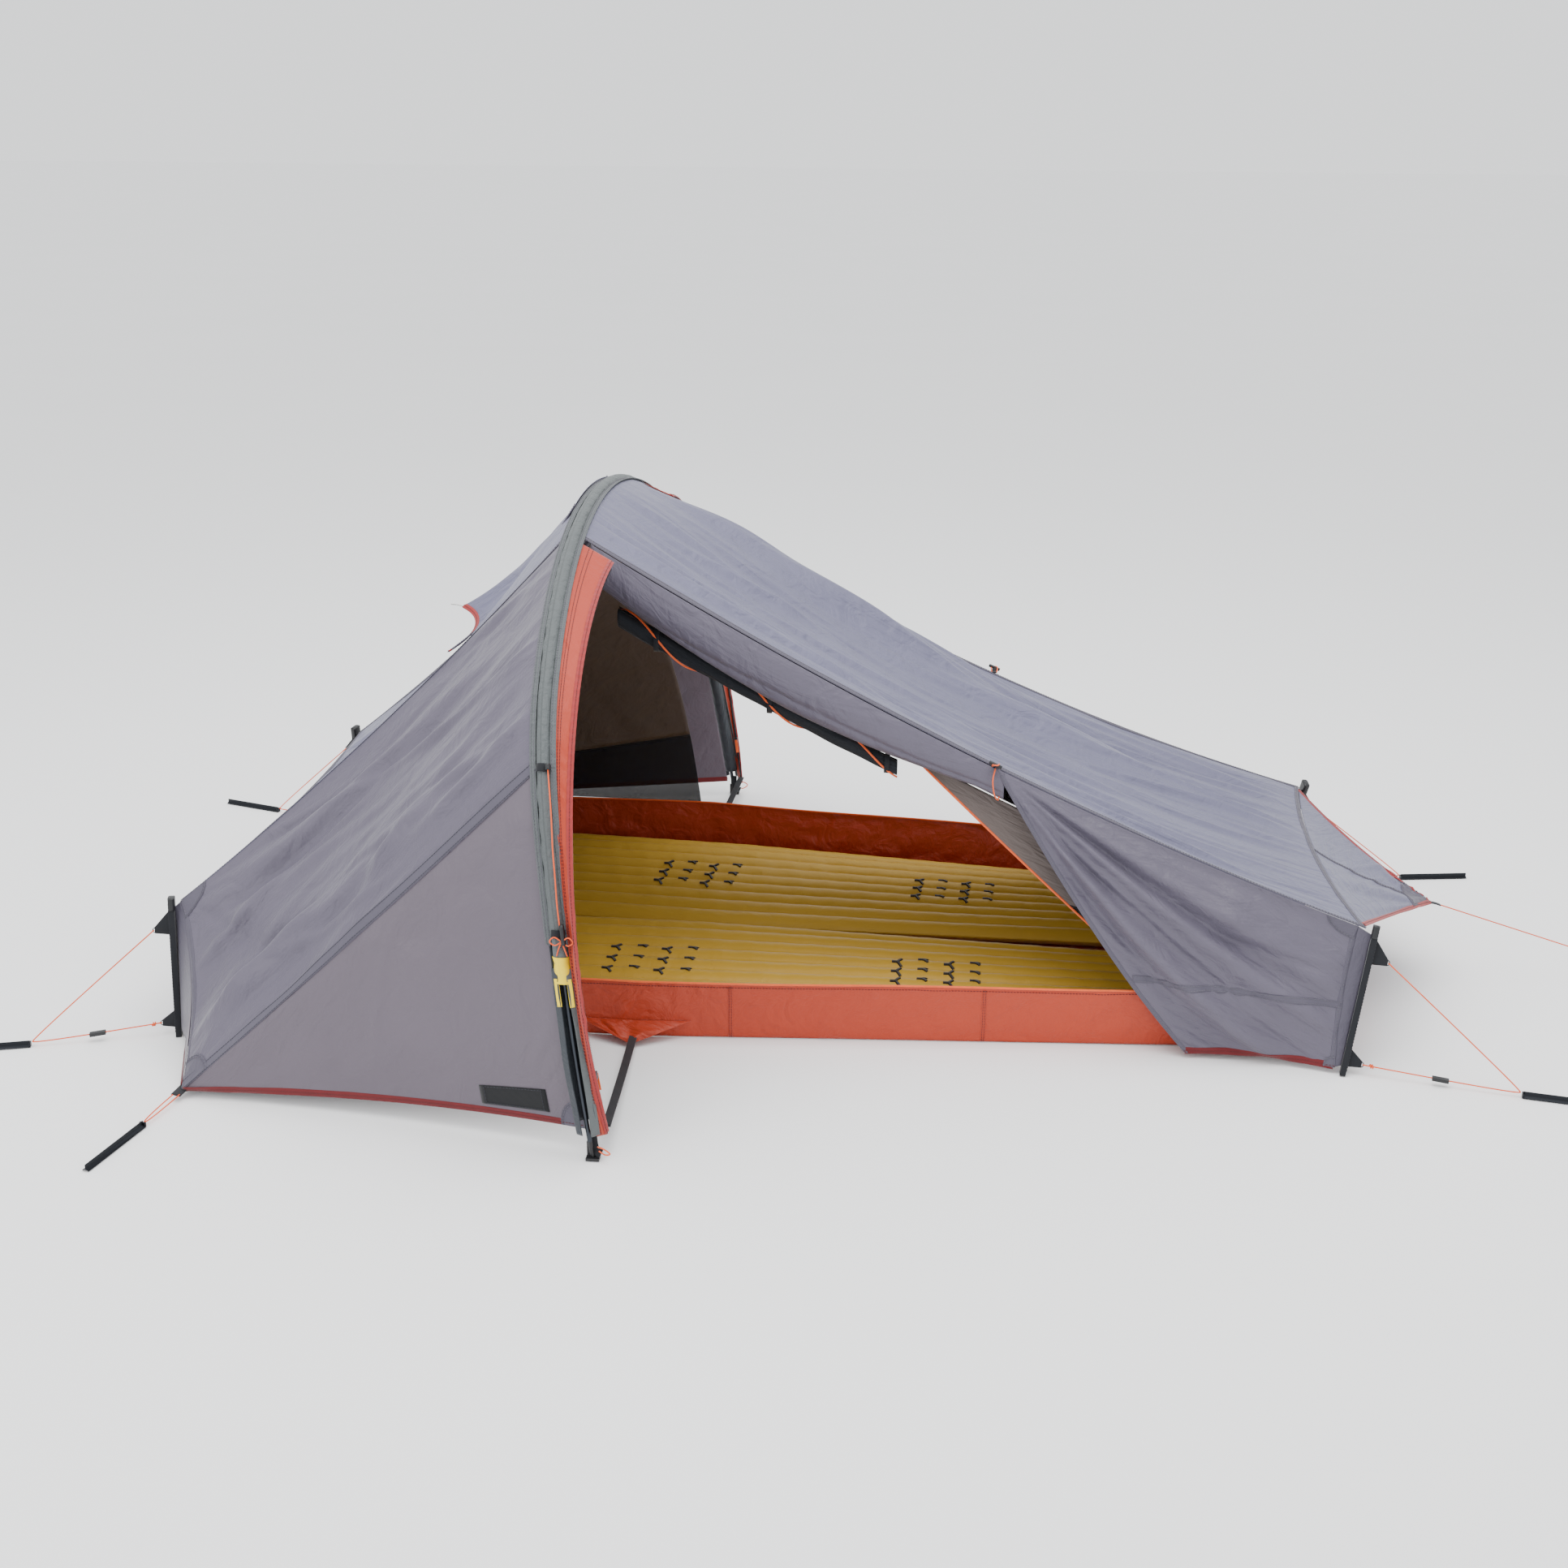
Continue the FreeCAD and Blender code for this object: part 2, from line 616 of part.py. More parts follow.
def strip_edge(t, out=0.0):
    """A point of the strip's free edge, from its top at 0 to the ground at 1."""
    turn = FreeCAD.Rotation(STRIP_AXIS, STRIP_ANGLE * t)
    arm = turn.multVec(STRIP_TOP - STRIP_CENTRE)
    return STRIP_CENTRE + arm + unit(arm) * out


def build_strips():
    """The bright strip beside the hoop at each door, and its zip with a slider and a pull."""
    leg = hoop_edge(SEAM_TURN - 1.0, 1.6, 1)
    rim = lambda t: strip_edge(t, STRIP_GAP)
    strip = sheet(coons(leg, rim, straight(leg(0), rim(0)), straight(leg(1), rim(1)), 28, 2))
    save_pair("fly_door_strip", strip)
    track = Part.Arc(strip_edge(0.015), strip_edge(0.5), strip_edge(0.985)).toShape()
    chain = round_bar(Part.Wire([track]), 2.0)
    save("door_zips", chain, mirrored(chain))
    here, below = strip_edge(SLIDER_SHARE), strip_edge(SLIDER_SHARE + 0.01)
    along = unit(below - here)
    inward = unit(STRIP_CENTRE - here)
    block = Part.makeBox(14, 7.4, 7.4, Vector(-7, -3.7, -3.7))
    slot_wire = Part.Wire([Part.Arc(strip_edge(SLIDER_SHARE - 0.05), here, strip_edge(SLIDER_SHARE + 0.05)).toShape()])
    channel = round_bar(slot_wire, 2.5)
    body = placed(block, here, along, up=inward)
    save_pair("zip_slider", body.cut(channel))
    save_pair("zip_pull", zip_pull(here + inward * PULL_LIFT, along, inward))


def zip_pull(pin, along, inward):
    """A pull tab that hangs from the pin on its slider, along the zip."""
    tab = Part.makeBox(34, 7, 2.4, Vector(-1.2, -3.5, -1.2))
    return placed(tab, pin, along, up=inward)


# --- Inner tent -------------------------------------------------------------------------------
def tub_half(x):
    """Half the floor's width at x."""
    share = max(0.0, x) / TUB_FOOT_X
    return TUB_HALF_HEAD + (TUB_HALF_FOOT - TUB_HALF_HEAD) * share


def tub_base(x, side):
    """A point where the floor meets a side wall; side is -1 on the near side and 1 on the far."""
    shift = TUB_SHIFT * (1 - max(0.0, x) / TUB_FOOT_X)
    return Vector(x, side * tub_half(x) + shift, FLOOR_THICK)


def tub_rim(x, side):
    """A point on the tub's top edge."""
    return tub_base(x, side) + Vector(0, side * TUB_LEAN, TUB_HEIGHT)


def on_side(v, side):
    """A near-side point moved to the given side."""
    return v if side < 0 else far(v)


def inner_seam(t):
    """Near upper edge of the inner tent's roof, from under the hoop to the foot."""
    return mixed(foot_seam(0.03), foot_seam(0.965), t) + sagged(Vector(), Vector(), Vector(0, 24, -50))(t) + UNDER


def inner_head_seam(t):
    """Near upper edge of the inner tent's roof, from under the hoop to the head."""
    return mixed(head_seam(0.05), head_seam(0.95), t) + Vector(0, 40, -70)


UNDER = Vector(0, 34, -66)     # the inner hangs this far inside the roof seams


def build_inner():
    """Bathtub floor, side walls, roof and ends of the sleeping compartment."""
    plan = [tub_base(TUB_HEAD_X, -1), tub_base(0, -1), tub_base(TUB_FOOT_X, -1),
            tub_base(TUB_FOOT_X, 1), tub_base(0, 1), tub_base(TUB_HEAD_X, 1)]
    outline = [Vector(p.x, p.y, 0) for p in plan]
    save("inner_floor", Part.Face(Part.makePolygon(outline + outline[:1])).extrude(Vector(0, 0, FLOOR_THICK)))
    save("inner_tub_walls", *tub_walls())
    seam_far = lambda t: far(inner_seam(t))
    head_far = lambda t: far(inner_head_seam(t))
    span = sagged(inner_seam(0), far(inner_seam(0)), Vector(0, 0, 12))
    span_head = sagged(inner_head_seam(0), far(inner_head_seam(0)), Vector(0, 0, 12))
    foot_end = sagged(inner_seam(1), far(inner_seam(1)), Vector(-24, 0, -6))
    head_end = sagged(inner_head_seam(1), far(inner_head_seam(1)), Vector(14, 0, -6))
    save("inner_roof",
         sheet(coons(inner_seam, seam_far, span, foot_end, 8, 4, dip(40)), 1.0),
         sheet(coons(inner_head_seam, head_far, span_head, head_end, 6, 4, dip(54)), 1.0))
    save("inner_ends", inner_end(TUB_FOOT_X - 5, foot_end), inner_end(TUB_HEAD_X + 5, head_end))
    walls = []
    for side in (-1, 1):
        walls += [inner_head_wall(side), inner_foot_wall(side)]
    save("inner_side_walls", *walls)

    def roll(t):
        return inner_seam(0.01 + 0.39 * t) + Vector(0, 16, -46)

    save_pair("inner_mesh_roll", bundle(roll, lambda t: 34 - 8 * t, lambda t: 44 - 10 * t, count=8, stations=6))
    save("tub_tie_straps", tie_strap(-1), tie_strap(1))


def tub_walls():
    """The raised walls of the bathtub floor, each leaning out a little."""
    walls = []
    for side in (-1, 1):
        for a, b in ((TUB_HEAD_X, 0.0), (0.0, TUB_FOOT_X)):
            walls.append(sheet(coons(
                straight(tub_base(a, side), tub_base(b, side)), straight(tub_rim(a, side), tub_rim(b, side)),
                straight(tub_base(a, side), tub_rim(a, side)), straight(tub_base(b, side), tub_rim(b, side)),
                4, 2)))
    inset = Vector(0, 2.5, 0)
    for x in (TUB_HEAD_X, TUB_FOOT_X):
        walls.append(sheet(coons(
            straight(tub_base(x, -1) + inset, tub_base(x, 1) - inset),
            straight(tub_rim(x, -1) + inset, tub_rim(x, 1) - inset),
            straight(tub_base(x, -1) + inset, tub_rim(x, -1) + inset),
            straight(tub_base(x, 1) - inset, tub_rim(x, 1) - inset), 4, 2)))
    return walls


SEWN_UP = Vector(0, 0, 1.6)          # gap from the tub's rim to the cloth sewn on it
SEWN_UNDER = Vector(0, -1.5, -2.5)   # and from the roof's edge to the wall under it


def inner_end(x, top):
    """The low mesh wall at one end, from the tub's rim to the roof."""
    near, beyond = tub_rim(x, -1) + SEWN_UP + Vector(0, 3, 0), tub_rim(x, 1) + SEWN_UP - Vector(0, 3, 0)
    high = lambda t: top(0.01 + 0.98 * t) + Vector(0, 0, -2.5)
    return sheet(coons(straight(near, beyond), high, straight(near, high(0)), straight(beyond, high(1)),
                       4, 2), 1.0)


def inner_head_wall(side):
    """The closed side wall at the head, from the hoop back."""
    rim = straight(tub_rim(-140, side) + SEWN_UP, tub_rim(TUB_HEAD_X + 10, side) + SEWN_UP)
    seam = lambda t: on_side(inner_head_seam(0.99 * t) + SEWN_UNDER, side)
    front = sagged(rim(0), seam(0), Vector(10, side * 90, 40))
    return sheet(coons(rim, seam, front, straight(rim(1), seam(1)), 6, 6), 1.0)


def inner_foot_wall(side):
    """The side wall at the foot, cut away in a curve for the door."""
    rim = straight(tub_rim(DOOR_CUT_X, side) + SEWN_UP, tub_rim(TUB_FOOT_X - 10, side) + SEWN_UP)
    seam = lambda t: on_side(inner_seam(mixed(DOOR_CUT_SHARE, 0.99, t)) + SEWN_UNDER, side)
    curve = sagged(rim(0), seam(0), Vector(40, 0, -44))
    return sheet(coons(rim, seam, curve, straight(rim(1), seam(1)), 6, 5), 1.0)


def tie_strap(side):
    """The strap that pulls the tub's side out to the hoop's foot."""
    tub_end = tub_base(TIE_X, side) + Vector(0, side * 9, 14)
    hoop_end = on_side(hoop_at(1.9) + Vector(28, 18, 0), side)
    return plate([tub_end + Vector(-10, 0, 0), hoop_end + Vector(-8, 0, 0),
                  hoop_end + Vector(8, 0, 0), tub_end + Vector(10, 0, 0)], 2.0, Vector(0, 0.3, 1))


# --- Mats --------------------------------------------------------------------------------------
def mat_half(t):
    """Half the mat's width at a share t of its length from the head."""
    taper = max(0.0, (t - MAT_TAPER_START) / (1 - MAT_TAPER_START))
    corner = 1.0
    if t < 0.06:
        corner = math.sqrt(max(0.0, 1 - ((0.06 - t) / 0.06) ** 2)) * 0.22 + 0.78
    if t > 0.95:
        corner = math.sqrt(max(0.0, 1 - ((t - 0.95) / 0.05) ** 2)) * 0.22 + 0.78
    return corner * (MAT_WIDTH + (MAT_FOOT_WIDTH - MAT_WIDTH) * taper) / 2


def mat(head, heading):
    """A tapered air mat that lies on the floor from its head point along a heading in degrees."""
    rings = []
    stations = [0, 0.01, 0.03, 0.06, 0.2, MAT_TAPER_START, 0.5, 0.65, 0.8, 0.95, 0.97, 0.99, 1.0]
    for t in stations:
        half, thick = mat_half(t), MAT_THICK * (0.55 if t in (0, 1.0) else 1.0)
        ring = []
        for k in range(12):
            a = 2 * math.pi * (k + 0.5) / 12
            across = math.copysign(abs(math.cos(a)) ** 0.5, math.cos(a)) * half
            up = math.copysign(abs(math.sin(a)) ** 0.7, math.sin(a)) * thick / 2
            ring.append(Vector(MAT_LENGTH * t, across, FLOOR_THICK + MAT_THICK / 2 + 0.5 + up))
        rings.append(ring)
    solid = loft_rings(rings)
    solid.rotate(Vector(0, 0, 0), Vector(0, 0, 1), heading)
    solid.translate(head)
    return solid


NEAR_MAT = (Vector(-590, -236, 0), 0.2)
FAR_MAT = (Vector(-560, 288, 0), -3.5)


def build_mats():
    """The two mats, side by side, heads at the head end."""
    save("mat_near", mat(*NEAR_MAT))
    save("mat_far", mat(*FAR_MAT))
    valves = []
    for head, heading in (NEAR_MAT, FAR_MAT):
        place = FreeCAD.Rotation(Vector(0, 0, 1), heading).multVec(Vector(VALVE_FROM_HEAD, 0, 0))
        at = head + place + Vector(0, 0, FLOOR_THICK + MAT_THICK + 0.8)
        valves.append(Part.makeCylinder(VALVE_RADIUS, VALVE_HEIGHT, at))
    save("mat_valves", *valves)


# --- Guys, pegs and small fittings -------------------------------------------------------------
def peg(at, heading):
    """A three-armed alloy peg that lies on the ground with its hooked head at a point."""
    outline = []
    for k in range(3):
        a = math.radians(90 + 120 * k)
        arm, side = Vector(0, math.cos(a), math.sin(a)), Vector(0, -math.sin(a), math.cos(a))
        notch = PEG_WALL / 2 / math.tan(math.radians(30))
        outline.append(arm * PEG_ARM - side * (PEG_WALL / 2))
        outline.append(arm * PEG_ARM + side * (PEG_WALL / 2))
        b = a + math.radians(60)
        outline.append(Vector(0, math.cos(b), math.sin(b)) * (notch / math.cos(math.radians(30)) * 0.62))
    star = Part.Face(Part.makePolygon(outline + outline[:1])).extrude(Vector(PEG_LENGTH, 0, 0))
    head = Part.makeBox(4, 12, 9, Vector(-2, -6, -4.5))
    lift = PEG_ARM * 0.5 + PEG_WALL / 2
    shape = star.fuse(head)
    return placed(shape, at + Vector(0, 0, lift), Vector(math.cos(heading), math.sin(heading), 0))


def heading_of(a, b):
    """The compass angle from a to b, in radians from +X."""
    return math.atan2(b.y - a.y, b.x - a.x)


def guy_route(base, top, peg_at):
    """A guy from the strut's upper tab to its peg and back to the lower tab."""
    axis, outward = unit(top - base), guy_heading(base, top, peg_at)
    length = (top - base).Length
    start = base + axis * (length - 52) + outward * 35.5
    end = base + axis * 26 + outward * 31.5
    flat = unit(Vector(end.x - peg_at.x, end.y - peg_at.y, 0))
    turn = peg_at + flat * 5.5
    return [start, turn + Vector(0, 0, 15), turn + Vector(0, 0, 4), end]


def build_guys():
    """Every guy, its pegs and the sliding adjusters on the end guys."""
    pegs = []
    for name, base, top, at in (("head", HEAD_STRUT_BASE, HEAD_STRUT_TOP, HEAD_PEG),
                                ("foot", FOOT_STRUT_BASE, FOOT_STRUT_TOP, FOOT_PEG)):
        route = guy_route(base, top, at)
        save_pair("guy_" + name, cord(route, "guy_" + name))
        pegs.append(peg(at, heading_of(base, at)))
        save_pair("adjuster_" + name, adjuster(route[2], route[3]))
    flat = unit(CORNER_PEG - FLY_CORNER)
    side = Vector(-flat.y, flat.x, 0) * 6
    down = Vector(0, 0, 6)
    corner = [FLY_CORNER + flat * 16 + side, Vector(CORNER_PEG.x, CORNER_PEG.y, 0) - flat * 6 + side + down,
              Vector(CORNER_PEG.x, CORNER_PEG.y, 0) - flat * 6 - side + down, FLY_CORNER + flat * 16 - side]
    save_pair("guy_corner", cord(corner, "guy_corner"))
    pegs.append(peg(CORNER_PEG, heading_of(FLY_CORNER, CORNER_PEG)))
    end = BEAK_PEG + Vector(-6, 0, 9)
    save("guy_beak", rod(BEAK_TIP + Vector(22, 0, -6), end, CORD / 2))
    save_pair("guy_stowed", cord([hoop_at(*point) for point in STOWED_ROUTE], "guy_stowed"))
    pegs += [mirrored(p) for p in pegs]
    pegs.append(peg(BEAK_PEG, 0.0))
    save("pegs", *pegs)


def adjuster(a, b):
    """A line-lock that grips the lower guy: a short bar with a bore for the cord."""
    middle = mixed(a, b, ADJUSTER_SHARE)
    bar = Part.makeBox(ADJUSTER_LENGTH, 11, 6.5, Vector(-ADJUSTER_LENGTH / 2, -5.5, -3.25))
    shape = placed(bar, middle, b - a)
    return shape.cut(rod(a, b, CORD / 2 + 0.4))


def build_toggles():
    """The toggles on the roof seams that hold the tied-back doors."""
    along = unit(foot_seam(TOGGLE_SHARE + 0.02) - foot_seam(TOGGLE_SHARE - 0.02))
    at = foot_seam(TOGGLE_SHARE) + TOGGLE_OFFSET
    bar = rod(at - along * TOGGLE_HALF, at + along * TOGGLE_HALF, 3.5)
    print("toggle", at, "about", unit(TOGGLE_OFFSET - along * TOGGLE_OFFSET.dot(along)))
    save_pair("door_toggle", bar)


def axes_of_motion():
    """Prints the line of each joint: the guys' lower runs, the zips' arcs and the pulls' pins."""
    for name, base, top, at in (("head", HEAD_STRUT_BASE, HEAD_STRUT_TOP, HEAD_PEG),
                                ("foot", FOOT_STRUT_BASE, FOOT_STRUT_TOP, FOOT_PEG)):
        route = guy_route(base, top, at)
        print("adjuster", name, "along", unit(route[3] - route[2]), "run", (route[3] - route[2]).Length)
    print("zip centre", STRIP_CENTRE, "axis", STRIP_AXIS, "angle", STRIP_ANGLE, "radius", STRIP_RADIUS)
    here, below = strip_edge(SLIDER_SHARE), strip_edge(SLIDER_SHARE + 0.01)
    inward = unit(STRIP_CENTRE - here)
    print("slider at", here, "pin at", here + inward * PULL_LIFT, "along", unit(below - here))


build_pole()
build_sleeve()
build_struts()
build_fly()
build_inner()
build_mats()
build_guys()
build_toggles()
axes_of_motion()
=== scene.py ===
"""Looks of a pitched two-person, single-hoop trekking tent with two air mats inside.

Frame: +X runs from the head end to the foot end, -Y is the near door, +Z is up. Numbers given to
mm() are millimetres; every point passed to the scene is in metres.
"""
import logging
import math
from dataclasses import dataclass, field
from enum import Enum
from typing import Any, Callable, Sequence

import bmesh
import bpy
import numpy as np
from mathutils import Matrix, Vector


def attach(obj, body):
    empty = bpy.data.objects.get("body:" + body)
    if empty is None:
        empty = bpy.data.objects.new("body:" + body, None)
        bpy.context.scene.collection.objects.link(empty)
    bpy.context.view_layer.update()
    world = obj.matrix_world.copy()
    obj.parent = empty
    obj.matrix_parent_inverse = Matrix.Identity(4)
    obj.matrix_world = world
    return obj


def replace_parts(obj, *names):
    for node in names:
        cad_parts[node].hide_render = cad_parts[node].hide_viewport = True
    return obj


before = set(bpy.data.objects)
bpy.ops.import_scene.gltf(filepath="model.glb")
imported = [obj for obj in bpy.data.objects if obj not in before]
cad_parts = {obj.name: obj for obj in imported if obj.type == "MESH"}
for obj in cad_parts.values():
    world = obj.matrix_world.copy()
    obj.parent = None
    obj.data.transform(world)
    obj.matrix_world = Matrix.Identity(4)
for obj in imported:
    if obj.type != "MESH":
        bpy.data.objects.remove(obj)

LOG = logging.getLogger("tent")
MM = 0.001
Array = np.ndarray
Curve = Callable[[Array], Array]
MIRROR = np.array([1.0, -1.0, 1.0])
ENDS = np.array([0.0, 1.0])
UP = np.array([0.0, 0.0, 1.0])
ON_GROUND = np.array([1.0, 1.0, 0.0])


class Side(Enum):
    """The two mirrored sides of the tent."""

    NEAR = -1
    FAR = 1

    @property
    def label(self) -> str:
        """The ending that the side's pieces carry in their names."""
        return "near" if self is Side.NEAR else "far"

    def place(self, points: Array) -> Array:
        """Near-side points moved to this side."""
        return points if self is Side.NEAR else points * MIRROR


def mm(*values: float) -> Array:
    """A point given in millimetres, in metres."""
    return np.array(values, float) * MM


def shares(count: int) -> Array:
    """Evenly spaced shares from 0 to 1."""
    return np.linspace(0.0, 1.0, count)


def unit_of(vector: Array) -> Array:
    """The vector at length one."""
    return vector / np.linalg.norm(vector)


# --- Lines and surfaces
@dataclass(frozen=True)
class Hoop:
    """The pole's three-radius arch, leaning towards the head end. Lengths are millimetres."""

    half_span: float = 961.0
    height: float = 991.0
    lean: float = 149.0
    leg_turn: float = 20.4
    haunch_turn: float = 34.4
    haunch_radius: float = 451.0

    def arcs(self) -> list[tuple[float, float, float]]:
        """Start turn, end turn and radius of the near half's arcs, from foot to crown."""
        slant = math.hypot(self.height, self.lean)
        turn = self.leg_turn + self.haunch_turn
        c1, s1 = math.cos(math.radians(self.leg_turn)), math.sin(math.radians(self.leg_turn))
        c2, s2 = math.cos(math.radians(turn)), math.sin(math.radians(turn))
        across = self.half_span - self.haunch_radius * (c1 - c2)
        up = slant - self.haunch_radius * (s2 - s1)
        det = (1 - c1) * (1 - s2) - c2 * s1
        leg = (across * (1 - s2) - c2 * up) / det
        crown = ((1 - c1) * up - s1 * across) / det
        return [(0.0, self.leg_turn, leg), (self.leg_turn, turn, self.haunch_radius), (turn, 90.0, crown)]

    def at(self, turn: Array, out: Array = 0.0, along: Array = 0.0) -> Array:
        """Points where the line has turned by so many degrees since the near foot.

        Args:
            turn: degrees of turn, 0 at the near foot and 180 at the far one.
            out: millimetres away from the inside of the arch.
            along: millimetres towards the foot end.

        Returns:
            Points in metres, with the shape of the arguments and three coordinates.
        """
        turn, out, along = np.broadcast_arrays(*(np.asarray(x, float) for x in (turn, out, along)))
        folded = np.where(turn > 90, 180 - turn, turn)
        y = np.full(turn.shape, -self.half_span)
        rise = np.zeros(turn.shape)
        for start, end, radius in self.arcs():
            a, b = math.radians(start), np.radians(np.clip(folded, start, end))
            y = y + radius * (math.cos(a) - np.cos(b))
            rise = rise + radius * (np.sin(b) - math.sin(a))
        here = np.radians(folded)
        y = y - out * np.cos(here)
        rise = rise + out * np.sin(here)
        slant = math.hypot(self.height, self.lean)
        x = along - rise * self.lean / slant
        return np.stack([x, np.where(turn > 90, -y, y), rise * self.height / slant], -1) * MM

    def turn_at(self, start: float, end: float, share: Array) -> Array:
        """Turns at shares of the length between two turns."""
        turns = np.linspace(0, 180, 2001)
        steps = np.linalg.norm(np.diff(self.at(turns), axis=0), axis=1)
        length = np.concatenate([[0.0], np.cumsum(steps)])
        a, b = np.interp([start, end], turns, length)
        return np.interp(a + (b - a) * np.asarray(share, float), length, turns)

    def edge(self, start: float, end: float, along: float, out: float = 3.0) -> Curve:
        """The stretch of the line between two turns, moved sideways, as a curve."""
        return lambda t: self.at(self.turn_at(start, end, t), out, along)


HOOP = Hoop()


def line(a: Array, b: Array) -> Curve:
    """The straight line between two points."""
    return lambda t: a + (b - a) * np.asarray(t, float)[..., None]


def sagged(a: Array, b: Array, sag: Array) -> Curve:
    """A curve between two points, pulled aside by sag at its middle."""
    return lambda t: line(a, b)(t) + sag * (4 * np.asarray(t) * (1 - np.asarray(t)))[..., None]


def part_of(curve: Curve, start: float, end: float) -> Curve:
    """The stretch of a curve between two shares of it."""
    return lambda t: curve(start + (end - start) * np.asarray(t, float))


def moved(curve: Curve, shift: Array) -> Curve:
    """The curve moved by a vector."""
    return lambda t: curve(t) + shift


def mirrored(curve: Curve) -> Curve:
    """The curve on the other side of the tent."""
    return lambda t: curve(t) * MIRROR


def met(curve: Curve, t: Array, start: Array, end: Array) -> Array:
    """Points of a curve, drawn to begin and end exactly at two given points."""
    a, b = curve(ENDS)
    return curve(t) + (start - a) * (1 - t[:, None]) + (end - b) * t[:, None]


def coons(bottom: Curve, top: Curve, left: Curve, right: Curve, columns: int, rows: int,
          fill: Callable[[Array, Array], Array] | None = None) -> Array:
    """The smooth patch inside four curves, as a grid of points.

    Args:
        bottom: curve along the columns at the first row.
        top: curve along the columns at the last row.
        left: curve along the rows at the first column.
        right: curve along the rows at the last column.
        columns: number of steps along bottom and top.
        rows: number of steps along left and right.
        fill: a vector to add inside the patch, from the two shares.

    Returns:
        An array of (columns + 1, rows + 1, 3) points.
    """
    u, v = shares(columns + 1), shares(rows + 1)
    wide, tall = u[:, None, None], v[None, :, None]
    low, high = bottom(u)[:, None], top(u)[:, None]
    (c00, c10), (c01, c11) = bottom(ENDS), top(ENDS)
    first, last = met(left, v, c00, c01)[None], met(right, v, c10, c11)[None]
    flat = (c00 + (c10 - c00) * wide) * (1 - tall) + (c01 + (c11 - c01) * wide) * tall
    grid = low + (high - low) * tall + first + (last - first) * wide - flat
    return grid if fill is None else grid + fill(u[:, None], v[None, :])


def bulge(vector: Array) -> Callable[[Array, Array], Array]:
    """A pull along one vector, strongest at the middle of a patch."""
    return lambda u, v: vector * (16 * u * (1 - u) * v * (1 - v))[..., None]


def turned_sides(grid: Array) -> tuple[Array, Array]:
    """The unit normals on the grid's own upper side, and their mean."""
    cross = np.cross(np.gradient(grid, axis=0), np.gradient(grid, axis=1))
    size = np.linalg.norm(cross, axis=-1, keepdims=True)
    mean = cross.mean((0, 1))
    mean = mean / max(np.linalg.norm(mean), 1e-12)
    return np.where(size > 1e-10, cross / np.maximum(size, 1e-12), mean), mean


def normals_of(grid: Array) -> Array:
    """The grid's unit normals, pointing away from the middle of the tent."""
    unit, mean = turned_sides(grid)
    away = grid.mean((0, 1)) - np.array([0.2, 0.0, 0.15])
    return unit if float(np.dot(mean, away)) > 0 else -unit


def lengths_of(grid: Array) -> tuple[Array, Array]:
    """Metres along the columns and along the rows, measured on the surface at every point."""
    zero_s, zero_t = np.zeros((1, grid.shape[1])), np.zeros((grid.shape[0], 1))
    s = np.concatenate([zero_s, np.cumsum(np.linalg.norm(np.diff(grid, axis=0), axis=-1), 0)], 0)
    t = np.concatenate([zero_t, np.cumsum(np.linalg.norm(np.diff(grid, axis=1), axis=-1), 1)], 1)
    return s, t - t[:, t.shape[1] // 2][:, None]


# --- Relief of tensioned cloth
@dataclass(frozen=True)
class Creases:
    """Long soft ridges that tension draws into cloth. Lengths are metres."""

    count: int
    height: float
    width: float
    length: float
    heading: float
    spread: float = 6.0
    seed: int = 1

    def __call__(self, s: Array, t: Array) -> Array:
        """Height of the relief at points s and t metres along the surface."""
        rng = np.random.default_rng(self.seed)
        total = np.zeros(s.shape)
        for _ in range(self.count):
            a = math.radians(self.heading + rng.normal(0, self.spread))
            mid_s, mid_t = rng.uniform(s.min(), s.max()), rng.uniform(t.min(), t.max())
            width, length = self.width * rng.uniform(0.6, 1.6), self.length * rng.uniform(0.5, 1.4)
            height = self.height * rng.uniform(0.35, 1.0) * rng.choice([1.0, 1.0, -0.7])
            p = (s - mid_s) * math.cos(a) + (t - mid_t) * math.sin(a)
            q = (t - mid_t) * math.cos(a) - (s - mid_s) * math.sin(a)
            q = q + width * 0.8 * np.sin(p / length * 5 + rng.uniform(0, 6))
            total += height * np.exp(-(q / width) ** 2 - (2 * p / length) ** 4)
        return total


@dataclass(frozen=True)
class Fan:
    """Folds that spread from one point of a panel, given by its shares along u and v."""

    u: float
    v: float
    folds: float
    height: float
    reach: float
    seed: int = 1

    def __call__(self, s: Array, t: Array) -> Array:
        """Height of the relief at points s and t metres along the surface."""
        rng = np.random.default_rng(self.seed)
        i, j = int(self.u * (s.shape[0] - 1)), int(self.v * (s.shape[1] - 1))
        ds, dt = s - s[i, j], t - t[i, j]
        away, angle = np.hypot(ds, dt), np.arctan2(dt, ds)
        wave = np.sin(angle * self.folds + rng.uniform(0, 6)) + 0.5 * np.sin(angle * self.folds * 1.7 + 1.3)
        return self.height * wave * (away / self.reach) * np.exp(1 - away / self.reach)


def relieved(grid: Array, *reliefs: Callable[[Array, Array], Array], pinned: bool = True) -> Array:
    """The grid pushed in and out by reliefs, held still along its edges if pinned."""
    s, t = lengths_of(grid)
    height = sum(relief(s, t) for relief in reliefs)
    if pinned:
        u, v = np.meshgrid(*(np.linspace(-1, 1, n) for n in grid.shape[:2]), indexing="ij")
        height = height * (1 - np.abs(u) ** 10) * (1 - np.abs(v) ** 10)
    return grid + normals_of(grid) * height[..., None]


# --- Meshes
def linked(name: str, data: bpy.types.ID) -> bpy.types.Object:
    """A new object that shows some data in the scene."""
    obj = bpy.data.objects.new(name, data)
    bpy.context.scene.collection.objects.link(obj)
    return obj


